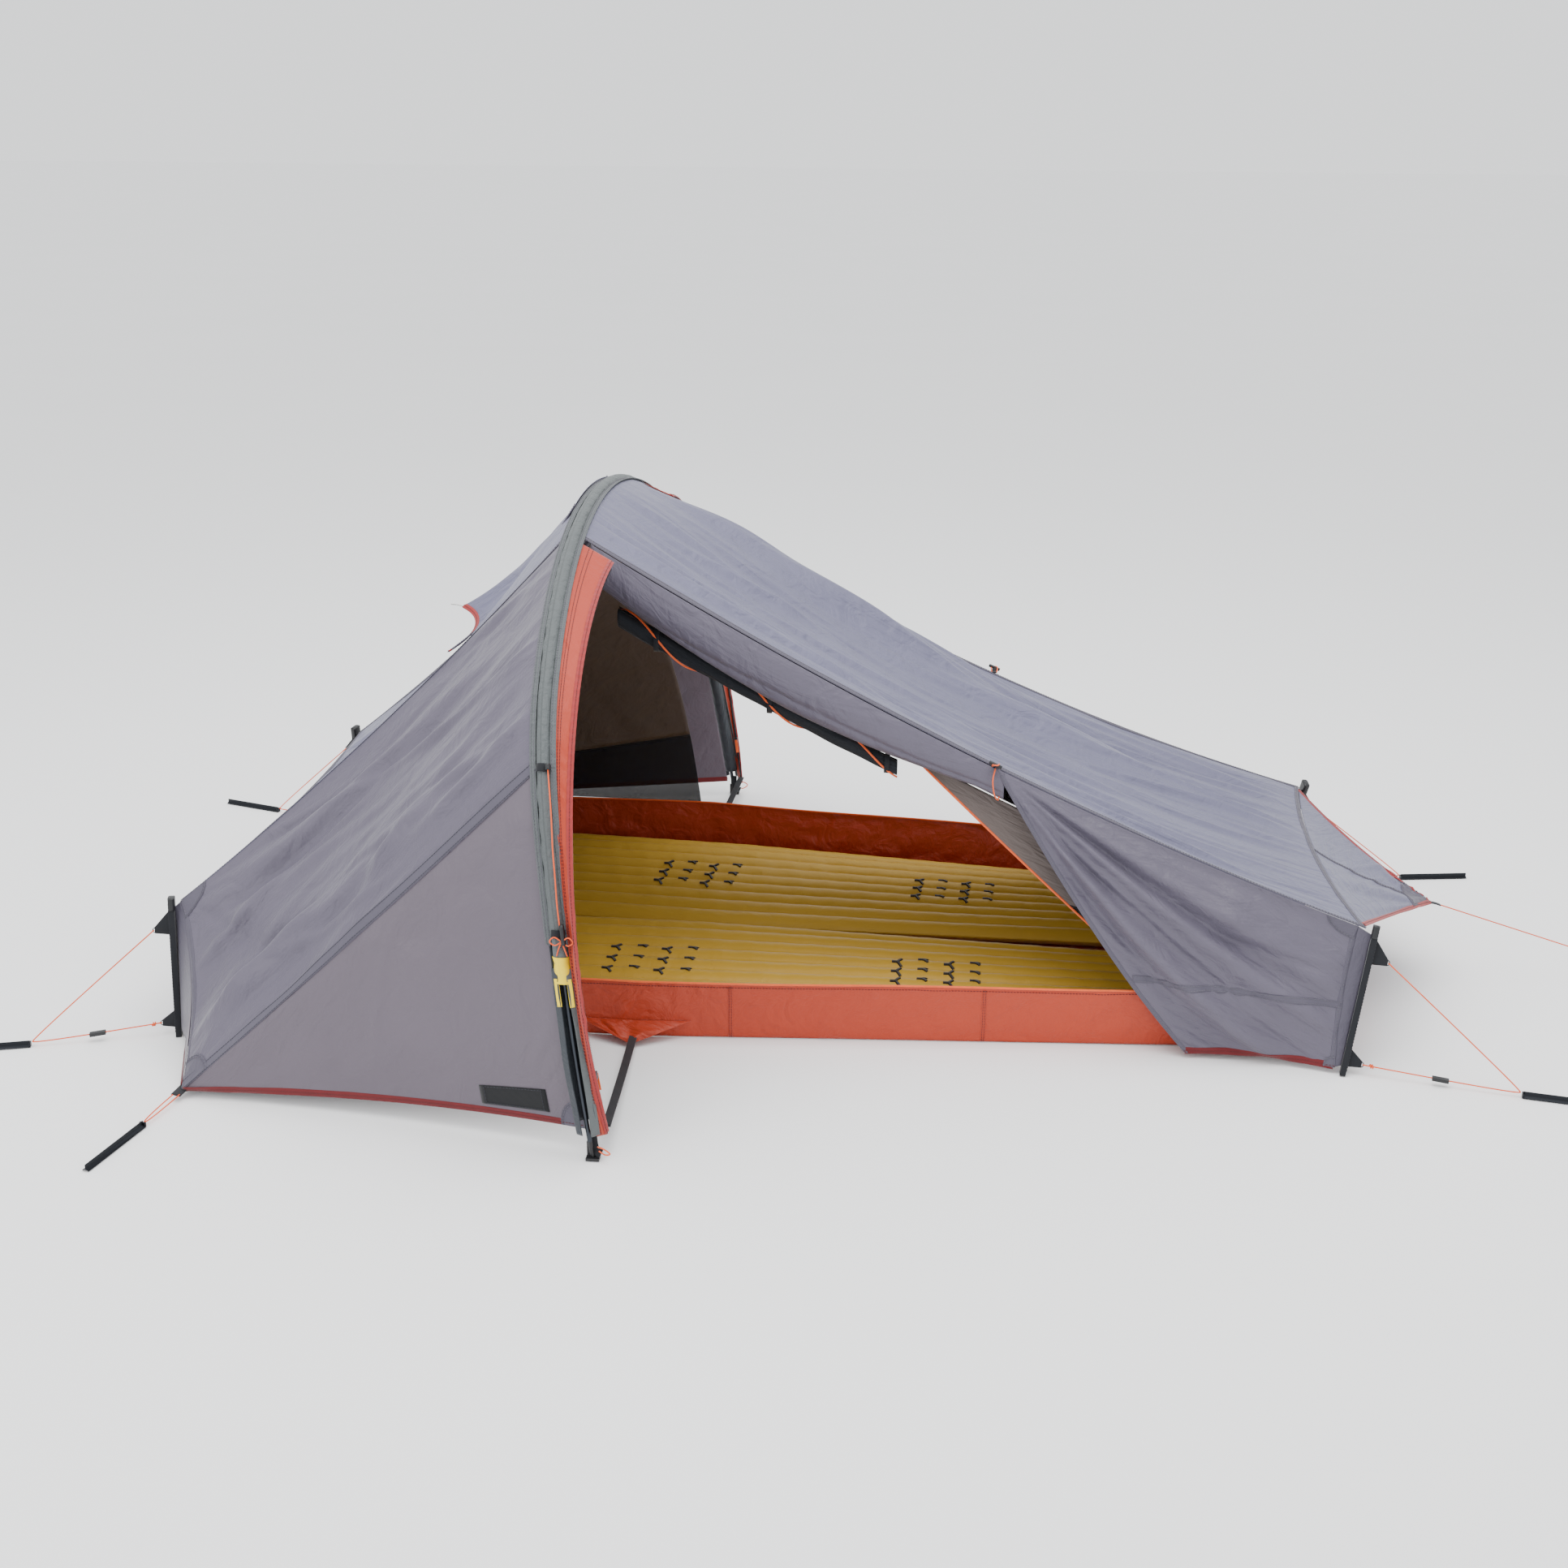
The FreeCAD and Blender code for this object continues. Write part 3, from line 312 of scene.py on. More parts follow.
def lay_out(mesh: bpy.types.Mesh, uv: Array) -> None:
    """Gives a mesh its texture points in metres, one for each vertex."""
    layer = mesh.uv_layers.new(name="metres")
    corners = np.empty(len(mesh.loops), np.int32)
    mesh.loops.foreach_get("vertex_index", corners)
    layer.data.foreach_set("uv", uv.reshape(-1, 2)[corners].astype(np.float32).ravel())


def make_object(name: str, points: Array, faces: Array, material: bpy.types.Material,
                uv: Array | None = None) -> bpy.types.Object:
    """A smooth-shaded mesh object at the origin.

    Args:
        name: the piece's name.
        points: vertices in metres.
        faces: rows of four vertex numbers.
        material: the piece's finish.
        uv: one texture point in metres for each vertex.

    Returns:
        The new object, linked to the scene.
    """
    mesh = bpy.data.meshes.new(name)
    mesh.from_pydata(points.reshape(-1, 3).tolist(), [], faces.tolist())
    mesh.materials.append(material)
    if uv is not None:
        lay_out(mesh, uv)
    mesh.shade_smooth()
    mesh.validate()
    return linked(name, mesh)


def cells(index: Array) -> Array:
    """The four-cornered faces of a grid of vertex numbers."""
    return np.stack([index[:-1, :-1], index[1:, :-1], index[1:, 1:], index[:-1, 1:]], -1).reshape(-1, 4)


def shell(name: str, grid: Array, thickness: float, material: bpy.types.Material) -> bpy.types.Object:
    """A closed thin sheet that follows a grid, with its texture laid out in metres."""
    unit, _ = turned_sides(grid)
    top, low = grid + unit * thickness / 2, grid - unit * thickness / 2
    a = np.arange(grid.shape[0] * grid.shape[1]).reshape(grid.shape[:2])
    b = a + a.size
    rims = [
        np.stack([a[1:, 0], a[:-1, 0], b[:-1, 0], b[1:, 0]], -1),
        np.stack([a[:-1, -1], a[1:, -1], b[1:, -1], b[:-1, -1]], -1),
        np.stack([a[0, :-1], a[0, 1:], b[0, 1:], b[0, :-1]], -1),
        np.stack([a[-1, 1:], a[-1, :-1], b[-1, :-1], b[-1, 1:]], -1),
    ]
    faces = np.concatenate([cells(a), cells(b)[:, ::-1], *rims])
    uv = np.stack(lengths_of(grid), -1)
    return make_object(name, np.stack([top, low]), faces, material, np.stack([uv, uv]))


def loft(name: str, rings: Array, material: bpy.types.Material) -> bpy.types.Object:
    """A closed body through rings of points, fan-filled at both ends."""
    count, around = rings.shape[:2]
    index = np.arange(count * around).reshape(count, around)
    wrapped = np.concatenate([index, index[:, :1]], 1)
    caps = []
    for ring, way, centre in ((index[0], -1, count * around), (index[-1], 1, count * around + 1)):
        turned = np.roll(ring, -1)
        fan = np.stack([ring, turned, np.full(around, centre), np.full(around, centre)], -1)
        caps.append(fan[:, ::way] if way < 0 else fan)
    centres = np.stack([rings[0].mean(0), rings[-1].mean(0)])
    points = np.concatenate([rings.reshape(-1, 3), centres])
    run = np.concatenate([[0.0], np.cumsum(np.linalg.norm(np.diff(rings.mean(1), axis=0), axis=-1))])
    girth = np.linalg.norm(np.diff(rings[count // 2], axis=0), axis=-1).mean()
    uv = np.stack(np.broadcast_arrays(run[:, None], np.arange(around)[None] * girth), -1)
    uv = np.concatenate([uv.reshape(-1, 2), [[0.0, 0.0], [run[-1], 0.0]]])
    body = cells(wrapped)
    mesh_faces = [tuple(f) for f in body[:, ::-1]] + [tuple(dict.fromkeys(f)) for cap in caps
                                                      for f in cap[:, ::-1]]
    mesh = bpy.data.meshes.new(name)
    mesh.from_pydata(points.tolist(), [], mesh_faces)
    mesh.materials.append(material)
    lay_out(mesh, uv)
    tidy = bmesh.new()
    tidy.from_mesh(mesh)
    bmesh.ops.recalc_face_normals(tidy, faces=tidy.faces[:])
    tidy.to_mesh(mesh)
    tidy.free()
    mesh.shade_smooth()
    return linked(name, mesh)


def tangents_of(points: Array) -> Array:
    """Unit directions along a polyline."""
    steps = np.gradient(points, axis=0)
    return steps / np.maximum(np.linalg.norm(steps, axis=-1, keepdims=True), 1e-12)


def swept(points: Array, up: Array, width: float, height: float, around: int = 8,
          power: float = 1.0) -> Array:
    """Rings of an ellipse or rounded strip along a polyline.

    Args:
        points: the polyline.
        up: one direction for the height, or one for each point.
        width: size across the polyline.
        height: size along up.
        around: points in each ring.
        power: 1 for an ellipse, less for a squarer section.

    Returns:
        An array of rings.
    """
    ahead = tangents_of(points)
    up = np.broadcast_to(up, points.shape)
    side = np.cross(ahead, up)
    side = side / np.maximum(np.linalg.norm(side, axis=-1, keepdims=True), 1e-12)
    rise = np.cross(side, ahead)
    a = 2 * np.pi * (np.arange(around) + 0.5) / around
    x = np.sign(np.cos(a)) * np.abs(np.cos(a)) ** power * width / 2
    y = np.sign(np.sin(a)) * np.abs(np.sin(a)) ** power * height / 2
    return points[:, None] + side[:, None] * x[None, :, None] + rise[:, None] * y[None, :, None]


def smooth_path(points: Sequence[Array], steps: int = 60, closed: bool = False) -> Array:
    """A smooth polyline through points (Catmull-Rom)."""
    pts = np.array(points, float)
    ring = np.concatenate([pts[-1:], pts, pts[:2]]) if closed else np.concatenate(
        [2 * pts[:1] - pts[1:2], pts, 2 * pts[-1:] - pts[-2:-1]])
    spans = len(ring) - 3
    t = np.linspace(0, spans - 1e-9, steps)
    k = t.astype(int)
    f = (t - k)[:, None]
    p0, p1, p2, p3 = (ring[k + i] for i in range(4))
    return 0.5 * (2 * p1 + (p2 - p0) * f + (2 * p0 - 5 * p1 + 4 * p2 - p3) * f ** 2
                  + (3 * p1 - p0 - 3 * p2 + p3) * f ** 3)


# --- Finishes
def srgb(code: str) -> tuple[float, float, float, float]:
    """A hex colour as the linear colour that materials take."""
    parts = [int(code.lstrip("#")[k:k + 2], 16) / 255 for k in (0, 2, 4)]
    linear = [c / 12.92 if c <= 0.04045 else ((c + 0.055) / 1.055) ** 2.4 for c in parts]
    return (linear[0], linear[1], linear[2], 1.0)


def scaled(colour: Sequence[float], share: float) -> tuple[float, float, float, float]:
    """A colour made lighter or darker."""
    return tuple(min(1.0, c * share) for c in colour[:3]) + (1.0,)


class Graph:
    """The node tree of one new material."""

    def __init__(self, name: str) -> None:
        """Starts an empty tree."""
        self.material = bpy.data.materials.new(name)
        self.material.use_nodes = True
        self.tree = self.material.node_tree
        self.tree.nodes.clear()

    def add(self, kind: str, inputs: dict[str | int, Any] | None = None, **settings: Any) -> bpy.types.Node:
        """Adds a node with its settings, input values and links."""
        made = self.tree.nodes.new(kind)
        for key, value in settings.items():
            setattr(made, key, value)
        for key, value in (inputs or {}).items():
            if isinstance(value, bpy.types.NodeSocket):
                self.tree.links.new(value, made.inputs[key])
            else:
                made.inputs[key].default_value = value
        return made

    def place(self, scale: Sequence[float] = (1.0, 1.0, 1.0), uv: bool = True) -> bpy.types.NodeSocket:
        """Coordinates in metres, multiplied by a scale."""
        source = self.add("ShaderNodeTexCoord")
        mapped = self.add("ShaderNodeMapping", {"Vector": source.outputs["UV" if uv else "Object"],
                                               "Scale": tuple(scale)})
        return mapped.outputs["Vector"]

    def blend(self, share: bpy.types.NodeSocket, low: Sequence[float],
              high: Sequence[float]) -> bpy.types.NodeSocket:
        """A colour between two, by share."""
        made = self.add("ShaderNodeMix", {0: share, 6: low, 7: high}, data_type="RGBA")
        return made.outputs[2]

    def close(self, shader: bpy.types.NodeSocket) -> bpy.types.Material:
        """Ends the tree in a shader and returns the material."""
        self.add("ShaderNodeOutputMaterial", {"Surface": shader})
        return self.material


@dataclass(frozen=True)
class CoatedCloth:
    """Thin coated polyester or nylon: faint mottling, long crinkles, fine grain."""

    name: str
    colour: str
    crinkle: float = 0.5
    along: float = 5.0       # crinkles to a metre along the panel
    across: float = 55.0     # and across it
    roughness: float = 0.5
    mottle: float = 0.07
    glow: float = 0.0        # share of the light that comes through

    def make(self) -> bpy.types.Material:
        """Builds the material."""
        g = Graph(self.name)
        base = srgb(self.colour)
        cloud = g.add("ShaderNodeTexNoise", {"Vector": g.place(), "Scale": 5.0, "Detail": 3.0})
        tone = g.blend(cloud.outputs["Fac"], scaled(base, 1 - self.mottle), scaled(base, 1 + self.mottle))
        crinkles = g.add("ShaderNodeTexNoise",
                         {"Vector": g.place((self.along, self.across, 1)), "Scale": 1.0,
                                                "Detail": 5.0, "Roughness": 0.55, "Distortion": 0.6})
        folds = g.add("ShaderNodeTexNoise", {"Vector": g.place(), "Scale": 18.0, "Detail": 4.0,
                                             "Distortion": 1.2})
        both = g.add("ShaderNodeMath", {0: crinkles.outputs["Fac"], 1: folds.outputs["Fac"]},
                     operation="ADD")
        bump = g.add("ShaderNodeBump",
                     {"Height": both.outputs[0], "Strength": self.crinkle, "Distance": 0.010})
        grain = g.add("ShaderNodeTexNoise", {"Vector": g.place(), "Scale": 900.0, "Detail": 1.0})
        fine = g.add("ShaderNodeBump",
                     {"Height": grain.outputs["Fac"], "Strength": 0.08, "Distance": 0.0004,
                                        "Normal": bump.outputs["Normal"]})
        cloth = g.add("ShaderNodeBsdfPrincipled", {
            "Base Color": tone, "Roughness": self.roughness, "Normal": fine.outputs["Normal"],
            "Sheen Weight": 0.12, "Sheen Roughness": 0.4, "Specular IOR Level": 0.35})
        if self.glow <= 0:
            return g.close(cloth.outputs[0])
        through = g.add("ShaderNodeBsdfTranslucent", {"Color": tone})
        mixed = g.add("ShaderNodeMixShader", {0: self.glow, 1: cloth.outputs[0], 2: through.outputs[0]})
        return g.close(mixed.outputs[0])


@dataclass(frozen=True)
class NetCloth:
    """Fine mosquito netting: dark yarn with open cells, seen as a veil from a distance."""

    name: str
    colour: str
    cover: float = 0.72
    cell: float = 900.0      # cells to a metre

    def make(self) -> bpy.types.Material:
        """Builds the material."""
        g = Graph(self.name)
        cells_seen = g.add("ShaderNodeTexVoronoi", {"Vector": g.place(), "Scale": self.cell})
        yarn = g.add("ShaderNodeMapRange", {"Value": cells_seen.outputs["Distance"], "From Min": 0.0,
                                            "From Max": 0.7, "To Min": self.cover - 0.12,
                                            "To Max": self.cover + 0.12})
        cloth = g.add("ShaderNodeBsdfPrincipled", {"Base Color": srgb(self.colour), "Roughness": 0.7,
                                                   "Sheen Weight": 0.2, "Specular IOR Level": 0.2})
        clear = g.add("ShaderNodeBsdfTransparent")
        mixed = g.add("ShaderNodeMixShader", {0: yarn.outputs[0], 1: clear.outputs[0], 2: cloth.outputs[0]})
        return g.close(mixed.outputs[0])


@dataclass(frozen=True)
class WovenTape:
    """Narrow woven tape or webbing with a diagonal rib, for bindings, straps and strut pockets."""

    name: str
    colour: str
    rib: float = 350.0       # ribs to a metre
    depth: float = 0.25
    roughness: float = 0.7

    def make(self) -> bpy.types.Material:
        """Builds the material."""
        g = Graph(self.name)
        base = srgb(self.colour)
        rib = g.add("ShaderNodeTexWave", {"Vector": g.place(uv=False), "Scale": self.rib / 20,
                                          "Distortion": 0.4}, bands_direction="DIAGONAL")
        cloud = g.add("ShaderNodeTexNoise", {"Vector": g.place(uv=False), "Scale": 60.0})
        tone = g.blend(cloud.outputs["Fac"], scaled(base, 0.85), scaled(base, 1.15))
        bump = g.add("ShaderNodeBump",
                     {"Height": rib.outputs["Fac"], "Strength": self.depth, "Distance": 0.0006})
        tape = g.add("ShaderNodeBsdfPrincipled", {
            "Base Color": tone, "Roughness": self.roughness, "Normal": bump.outputs["Normal"],
            "Sheen Weight": 0.2, "Specular IOR Level": 0.25})
        return g.close(tape.outputs[0])


@dataclass(frozen=True)
class Braid:
    """Braided cord: two crossing yarn directions with pale tracer flecks."""

    name: str
    colour: str
    tracer: str
    pick: float = 420.0      # picks to a metre

    def make(self) -> bpy.types.Material:
        """Builds the material."""
        g = Graph(self.name)
        picks = g.add("ShaderNodeTexVoronoi", {"Vector": g.place(uv=False), "Scale": self.pick})
        fleck = g.add("ShaderNodeMapRange", {"Value": picks.outputs["Distance"], "From Min": 0.0,
                                             "From Max": 0.16, "To Min": 0.55, "To Max": 0.0})
        tone = g.blend(fleck.outputs[0], srgb(self.colour), srgb(self.tracer))
        bump = g.add("ShaderNodeBump",
                     {"Height": picks.outputs["Distance"], "Strength": 0.4, "Distance": 0.0005})
        cord = g.add("ShaderNodeBsdfPrincipled", {
            "Base Color": tone, "Roughness": 0.6, "Normal": bump.outputs["Normal"],
            "Sheen Weight": 0.15, "Specular IOR Level": 0.3})
        return g.close(cord.outputs[0])


@dataclass(frozen=True)
class Moulded:
    """Injection-moulded plastic with a fine spark-eroded grain."""

    name: str
    colour: str
    roughness: float = 0.42

    def make(self) -> bpy.types.Material:
        """Builds the material."""
        g = Graph(self.name)
        grain = g.add("ShaderNodeTexNoise", {"Vector": g.place(uv=False), "Scale": 2500.0})
        bump = g.add("ShaderNodeBump",
                     {"Height": grain.outputs["Fac"], "Strength": 0.12, "Distance": 0.0002})
        worn = g.add("ShaderNodeTexNoise", {"Vector": g.place(uv=False), "Scale": 90.0, "Detail": 3.0})
        rough = g.add("ShaderNodeMapRange", {"Value": worn.outputs["Fac"], "To Min": self.roughness - 0.08,
                                             "To Max": self.roughness + 0.12})
        body = g.add("ShaderNodeBsdfPrincipled",
                     {"Base Color": srgb(self.colour), "Roughness": rough.outputs[0],
                                                  "Normal": bump.outputs["Normal"]})
        return g.close(body.outputs[0])


@dataclass(frozen=True)
class Anodised:
    """Anodised aluminium alloy, drawn lengthwise, with a soft uneven sheen."""

    name: str
    colour: str
    roughness: float = 0.34

    def make(self) -> bpy.types.Material:
        """Builds the material."""
        g = Graph(self.name)
        drawn = g.add("ShaderNodeTexNoise", {"Vector": g.place((40, 900, 900), uv=False), "Scale": 1.0,
                                             "Detail": 3.0})
        rough = g.add("ShaderNodeMapRange", {"Value": drawn.outputs["Fac"], "To Min": self.roughness - 0.1,
                                             "To Max": self.roughness + 0.14})
        body = g.add("ShaderNodeBsdfPrincipled", {"Base Color": srgb(self.colour), "Metallic": 0.9,
                                                  "Roughness": rough.outputs[0]})
        return g.close(body.outputs[0])


class Finishes:
    """Every material of the tent, made once."""

    def __init__(self) -> None:
        """Builds the materials."""
        self.roof = CoatedCloth("fly_roof_cloth", "#69687F", 0.75, 2.2, 34.0, roughness=0.42,
                                glow=0.05).make()
        self.side = CoatedCloth("fly_side_cloth", "#5E5967", 0.65, 3.0, 24.0, roughness=0.44,
                                glow=0.04).make()
        self.lower = CoatedCloth("fly_lower_cloth", "#625A64", 0.45, 5.0, 12.0, roughness=0.44,
                                 glow=0.04).make()
        self.band = CoatedCloth("fly_seam_band", "#514D5A", 0.3, 30.0, 60.0).make()
        self.sleeve = CoatedCloth("sleeve_cloth", "#565B5C", 0.55, 60.0, 60.0, roughness=0.6).make()
        self.dark_flap = CoatedCloth("sleeve_flap_cloth", "#33383E", 0.45, 40.0, 60.0, roughness=0.6).make()
        self.strip = CoatedCloth("strip_cloth", "#A8341A", 0.45, 12.0, 30.0).make()
        self.tub = CoatedCloth("tub_cloth", "#AC3A20", 0.7, 16.0, 14.0, roughness=0.40).make()
        self.inner = CoatedCloth("inner_cloth", "#6A5F5B", 0.4, 8.0, 30.0, glow=0.15).make()
        self.mesh = NetCloth("inner_netting", "#15181E").make()
        self.mesh_roll = CoatedCloth("rolled_netting", "#191C22", 0.6, 10.0, 90.0, roughness=0.8).make()
        self.mat = CoatedCloth("mat_cloth", "#C49A30", 0.22, 30.0, 30.0, roughness=0.48).make()
        self.mark = Moulded("mat_print", "#4A4745", 0.6).make()
        self.binding = WovenTape("dark_red_binding", "#641A1E").make()
        self.bright_binding = WovenTape("red_binding", "#962F2E").make()
        self.piping = WovenTape("orange_piping", "#E4602C").make()
        self.webbing = WovenTape("black_webbing", "#15171C").make()
        self.label = WovenTape("black_label", "#101114", 800.0, 0.1).make()
        self.tape = CoatedCloth("yellow_cuff_tape", "#F2D41A", 0.3, 40.0, 40.0, roughness=0.4).make()
        self.thread = WovenTape("seam_thread", "#5C5963", 900.0).make()
        self.dark_thread = WovenTape("dark_thread", "#2B2B33", 900.0).make()
        self.red_thread = WovenTape("red_thread", "#551A1C", 900.0).make()
        self.guy = Braid("guy_braid", "#E8581C", "#F5B080").make()
        self.elastic = Braid("elastic_braid", "#E8602A", "#F5D0B0").make()
        self.black_cord = Braid("black_braid", "#17181C", "#3A3C44").make()
        self.pale_cord = Braid("white_braid", "#E6E6E2", "#FFFFFF").make()
        self.pole = Anodised("pole_alloy", "#3C4046").make()
        self.peg = Anodised("peg_alloy", "#26282C", 0.38).make()
        self.zip = Moulded("zip_coil", "#2A2A2E", 0.38).make()
        self.plastic = Moulded("black_acetal", "#141518").make()
        self.valve = Moulded("valve_plastic", "#55585C").make()


# --- Cloth panels
@dataclass
class Panel:
    """One sewn panel of cloth, held as a grid of points."""

    name: str
    grid: Array
    material: bpy.types.Material
    slot: str
    rests_on: tuple[str, ...] = ("pole_section_3",)
    held: str = "stretched"
    thickness: float = 0.0009
    replaces: tuple[str, ...] = ()
    obj: bpy.types.Object | None = field(default=None, repr=False)

    def build(self) -> "Panel":
        self.obj = shell(self.name, self.grid, self.thickness, self.material)
        wide, tall = self.size()
        first, middle, last = self.grid[:-1, :-1], self.grid[1:, 1:], self.grid[:-1, 1:]
        halves = (np.cross(self.grid[1:, :-1] - first, middle - first),
                  np.cross(middle - first, last - first))
        area = float(sum(np.linalg.norm(half, axis=-1).sum() for half in halves)) / 2
        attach(self.obj, "root")
        if self.replaces:
            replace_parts(self.obj, *self.replaces)
        wide = min(wide, area / 0.35 / tall)
        return self

    def size(self) -> tuple[float, float]:
        """The longest run along the rows and along the columns, in metres."""
        s, t = lengths_of(self.grid)
        return float((t[:, -1] - t[:, 0]).max()), float(s[-1].max())

    def trace(self, u: Array, v: Array, lift: float) -> tuple[Array, Array]:
        """Points over the panel at shares u and v, lifted off it, and the normals there."""
        u, v = np.broadcast_arrays(np.asarray(u, float), np.asarray(v, float))
        x = np.clip(u, 0, 1) * (self.grid.shape[0] - 1)
        y = np.clip(v, 0, 1) * (self.grid.shape[1] - 1)
        i = np.minimum(x.astype(int), self.grid.shape[0] - 2)
        j = np.minimum(y.astype(int), self.grid.shape[1] - 2)
        a, b = (x - i)[..., None], (y - j)[..., None]
        normals = normals_of(self.grid)

        def sample(field_: Array) -> Array:
            """Values between the grid's points."""
            low = field_[i, j] * (1 - a) + field_[i + 1, j] * a
            high = field_[i, j + 1] * (1 - a) + field_[i + 1, j + 1] * a
            return low * (1 - b) + high * b

        up = sample(normals)
        up = up / np.maximum(np.linalg.norm(up, axis=-1, keepdims=True), 1e-9)
        return sample(self.grid) + up * lift, up


class Workshop:
    """Adds trims to panels: bands, bindings, patches, straps and stitches."""

    def __init__(self, finishes: Finishes) -> None:
        """Starts with no stitches."""
        self.f = finishes
        self.seams: dict[str, list[Array]] = {}

    def fix(self, obj: bpy.types.Object, slot: str, body: str = "root") -> bpy.types.Object:
        """Makes a piece ride on a body."""
        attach(obj, body)
        return obj

    def strip(self, name: str, points: Array, up: Array, width: float, height: float,
              material: bpy.types.Material, slot: str = "fly_fabric",
              body: str = "root") -> bpy.types.Object:
        """A rounded flat strip along a polyline."""
        return self.fix(loft(name, swept(points, up, width, height, 10, 0.45), material), slot, body)

    def tube(self, name: str, points: Array, diameter: float, material: bpy.types.Material,
             slot: str = "guy_cord", body: str = "root", around: int = 8) -> bpy.types.Object:
        """A round cord or rod along a polyline."""
        ahead = tangents_of(points)
        up = UP if np.abs(ahead[:, 2]).max() < 0.97 else np.array([0.83, 0.55, 0.1])
        return self.fix(loft(name, swept(points, up, diameter, diameter, around), material), slot, body)

    def band(self, name: str, panel: Panel, u: Array, v: Array, width: float, material: bpy.types.Material,
             stitch: str = "", inset: float = 0.0025, lift: float = 0.0009, slot: str = "fly_fabric",
             height: float = 0.0012, rows: int = 2) -> bpy.types.Object:
        """A strip sewn flat on a panel along a path, with stitches near its two edges."""
        points, up = panel.trace(u, v, lift)
        made = self.strip(name, points, up, width, height, material, slot)
        if stitch:
            side = np.cross(tangents_of(points), up)
            offsets = (-1.0, 1.0) if rows == 2 else (0.0,)
            for way in offsets:
                self.sew(stitch, points + side * way * (width / 2 - inset) + up * height * 0.62)
        return made

    def edge(self, name: str, panel: Panel, which: str, width: float, material: bpy.types.Material,
             stitch: str = "", slot: str = "fly_fabric", height: float = 0.0030, count: int = 140,
             start: float = 0.0, end: float = 1.0) -> bpy.types.Object:
        """A folded binding over one edge of a panel: bottom, top, left or right."""
        t = np.linspace(start, end, count)
        inset = width * 0.45
        wide, tall = panel.size()
        u, v = {
            "bottom": (t, np.full(count, inset / wide)), "top": (t, np.full(count, 1 - inset / wide)),
            "left": (np.full(count, inset / tall), t), "right": (np.full(count, 1 - inset / tall), t),
        }[which]
        points, up = panel.trace(u, v, 0.0)
        made = self.strip(name, points, up, width, height, material, slot)
        if stitch:
            self.sew(stitch, points + up * height * 0.55)
        return made

    def patch(self, name: str, panel: Panel, place: Callable[[Array, Array], tuple[Array, Array]],
              material: bpy.types.Material, slot: str = "fly_fabric", lift: float = 0.0011,
              thickness: float = 0.0010, stitch: str = "", steps: int = 14) -> bpy.types.Object:
        """A patch sewn on a panel; place maps the patch's own shares to the panel's."""
        a, b = np.meshgrid(shares(steps + 1), shares(steps + 1), indexing="ij")
        points, up = panel.trace(*place(a, b), lift)
        made = self.fix(shell(name, points, thickness, material), slot)
        if stitch:
            rim = np.concatenate([points[1:-1, 1], points[-2, 1:-1], points[-2:0:-1, -2],
                                  points[1, -2:0:-1]])
            lifted = np.concatenate([up[1:-1, 1], up[-2, 1:-1], up[-2:0:-1, -2], up[1, -2:0:-1]])
            self.sew(stitch, rim + lifted * 0.0009)
        return made

    def corner(self, name: str, panel: Panel, u: float, v: float, radius: float,
               material: bpy.types.Material) -> None:
        """A quarter-round reinforcement at a panel's corner, with two arcs of stitches."""
        wide, tall = panel.size()
        du, dv = (1 if u < 0.5 else -1) / tall, (1 if v < 0.5 else -1) / wide

        def place(a: Array, b: Array) -> tuple[Array, Array]:
            """Polar shares inside the corner."""
            angle, away = b * math.pi / 2, radius * (0.02 + 0.98 * a)
            return u + du * away * np.cos(angle), v + dv * away * np.sin(angle)

        self.patch(name, panel, place, material)
        for share in (0.97, 0.90):
            b = np.linspace(0.03, 0.97, 30)
            points, _ = panel.trace(*place(np.full(30, share), b), 0.0022)
            self.sew("thread", points)

    def join(self, name: str, a: Array, b: Array, material: bpy.types.Material) -> bpy.types.Object:
        """A narrow flap of cloth between two rows of points."""
        share = shares(7)[None, :, None]
        return self.fix(shell(name, a[:, None] * (1 - share) + b[:, None] * share, 0.0009, material),
                        "fly_fabric")

    def sew(self, thread: str, points: Array) -> None:
        """Notes a row of stitches along a polyline."""
        self.seams.setdefault(thread, []).append(points)

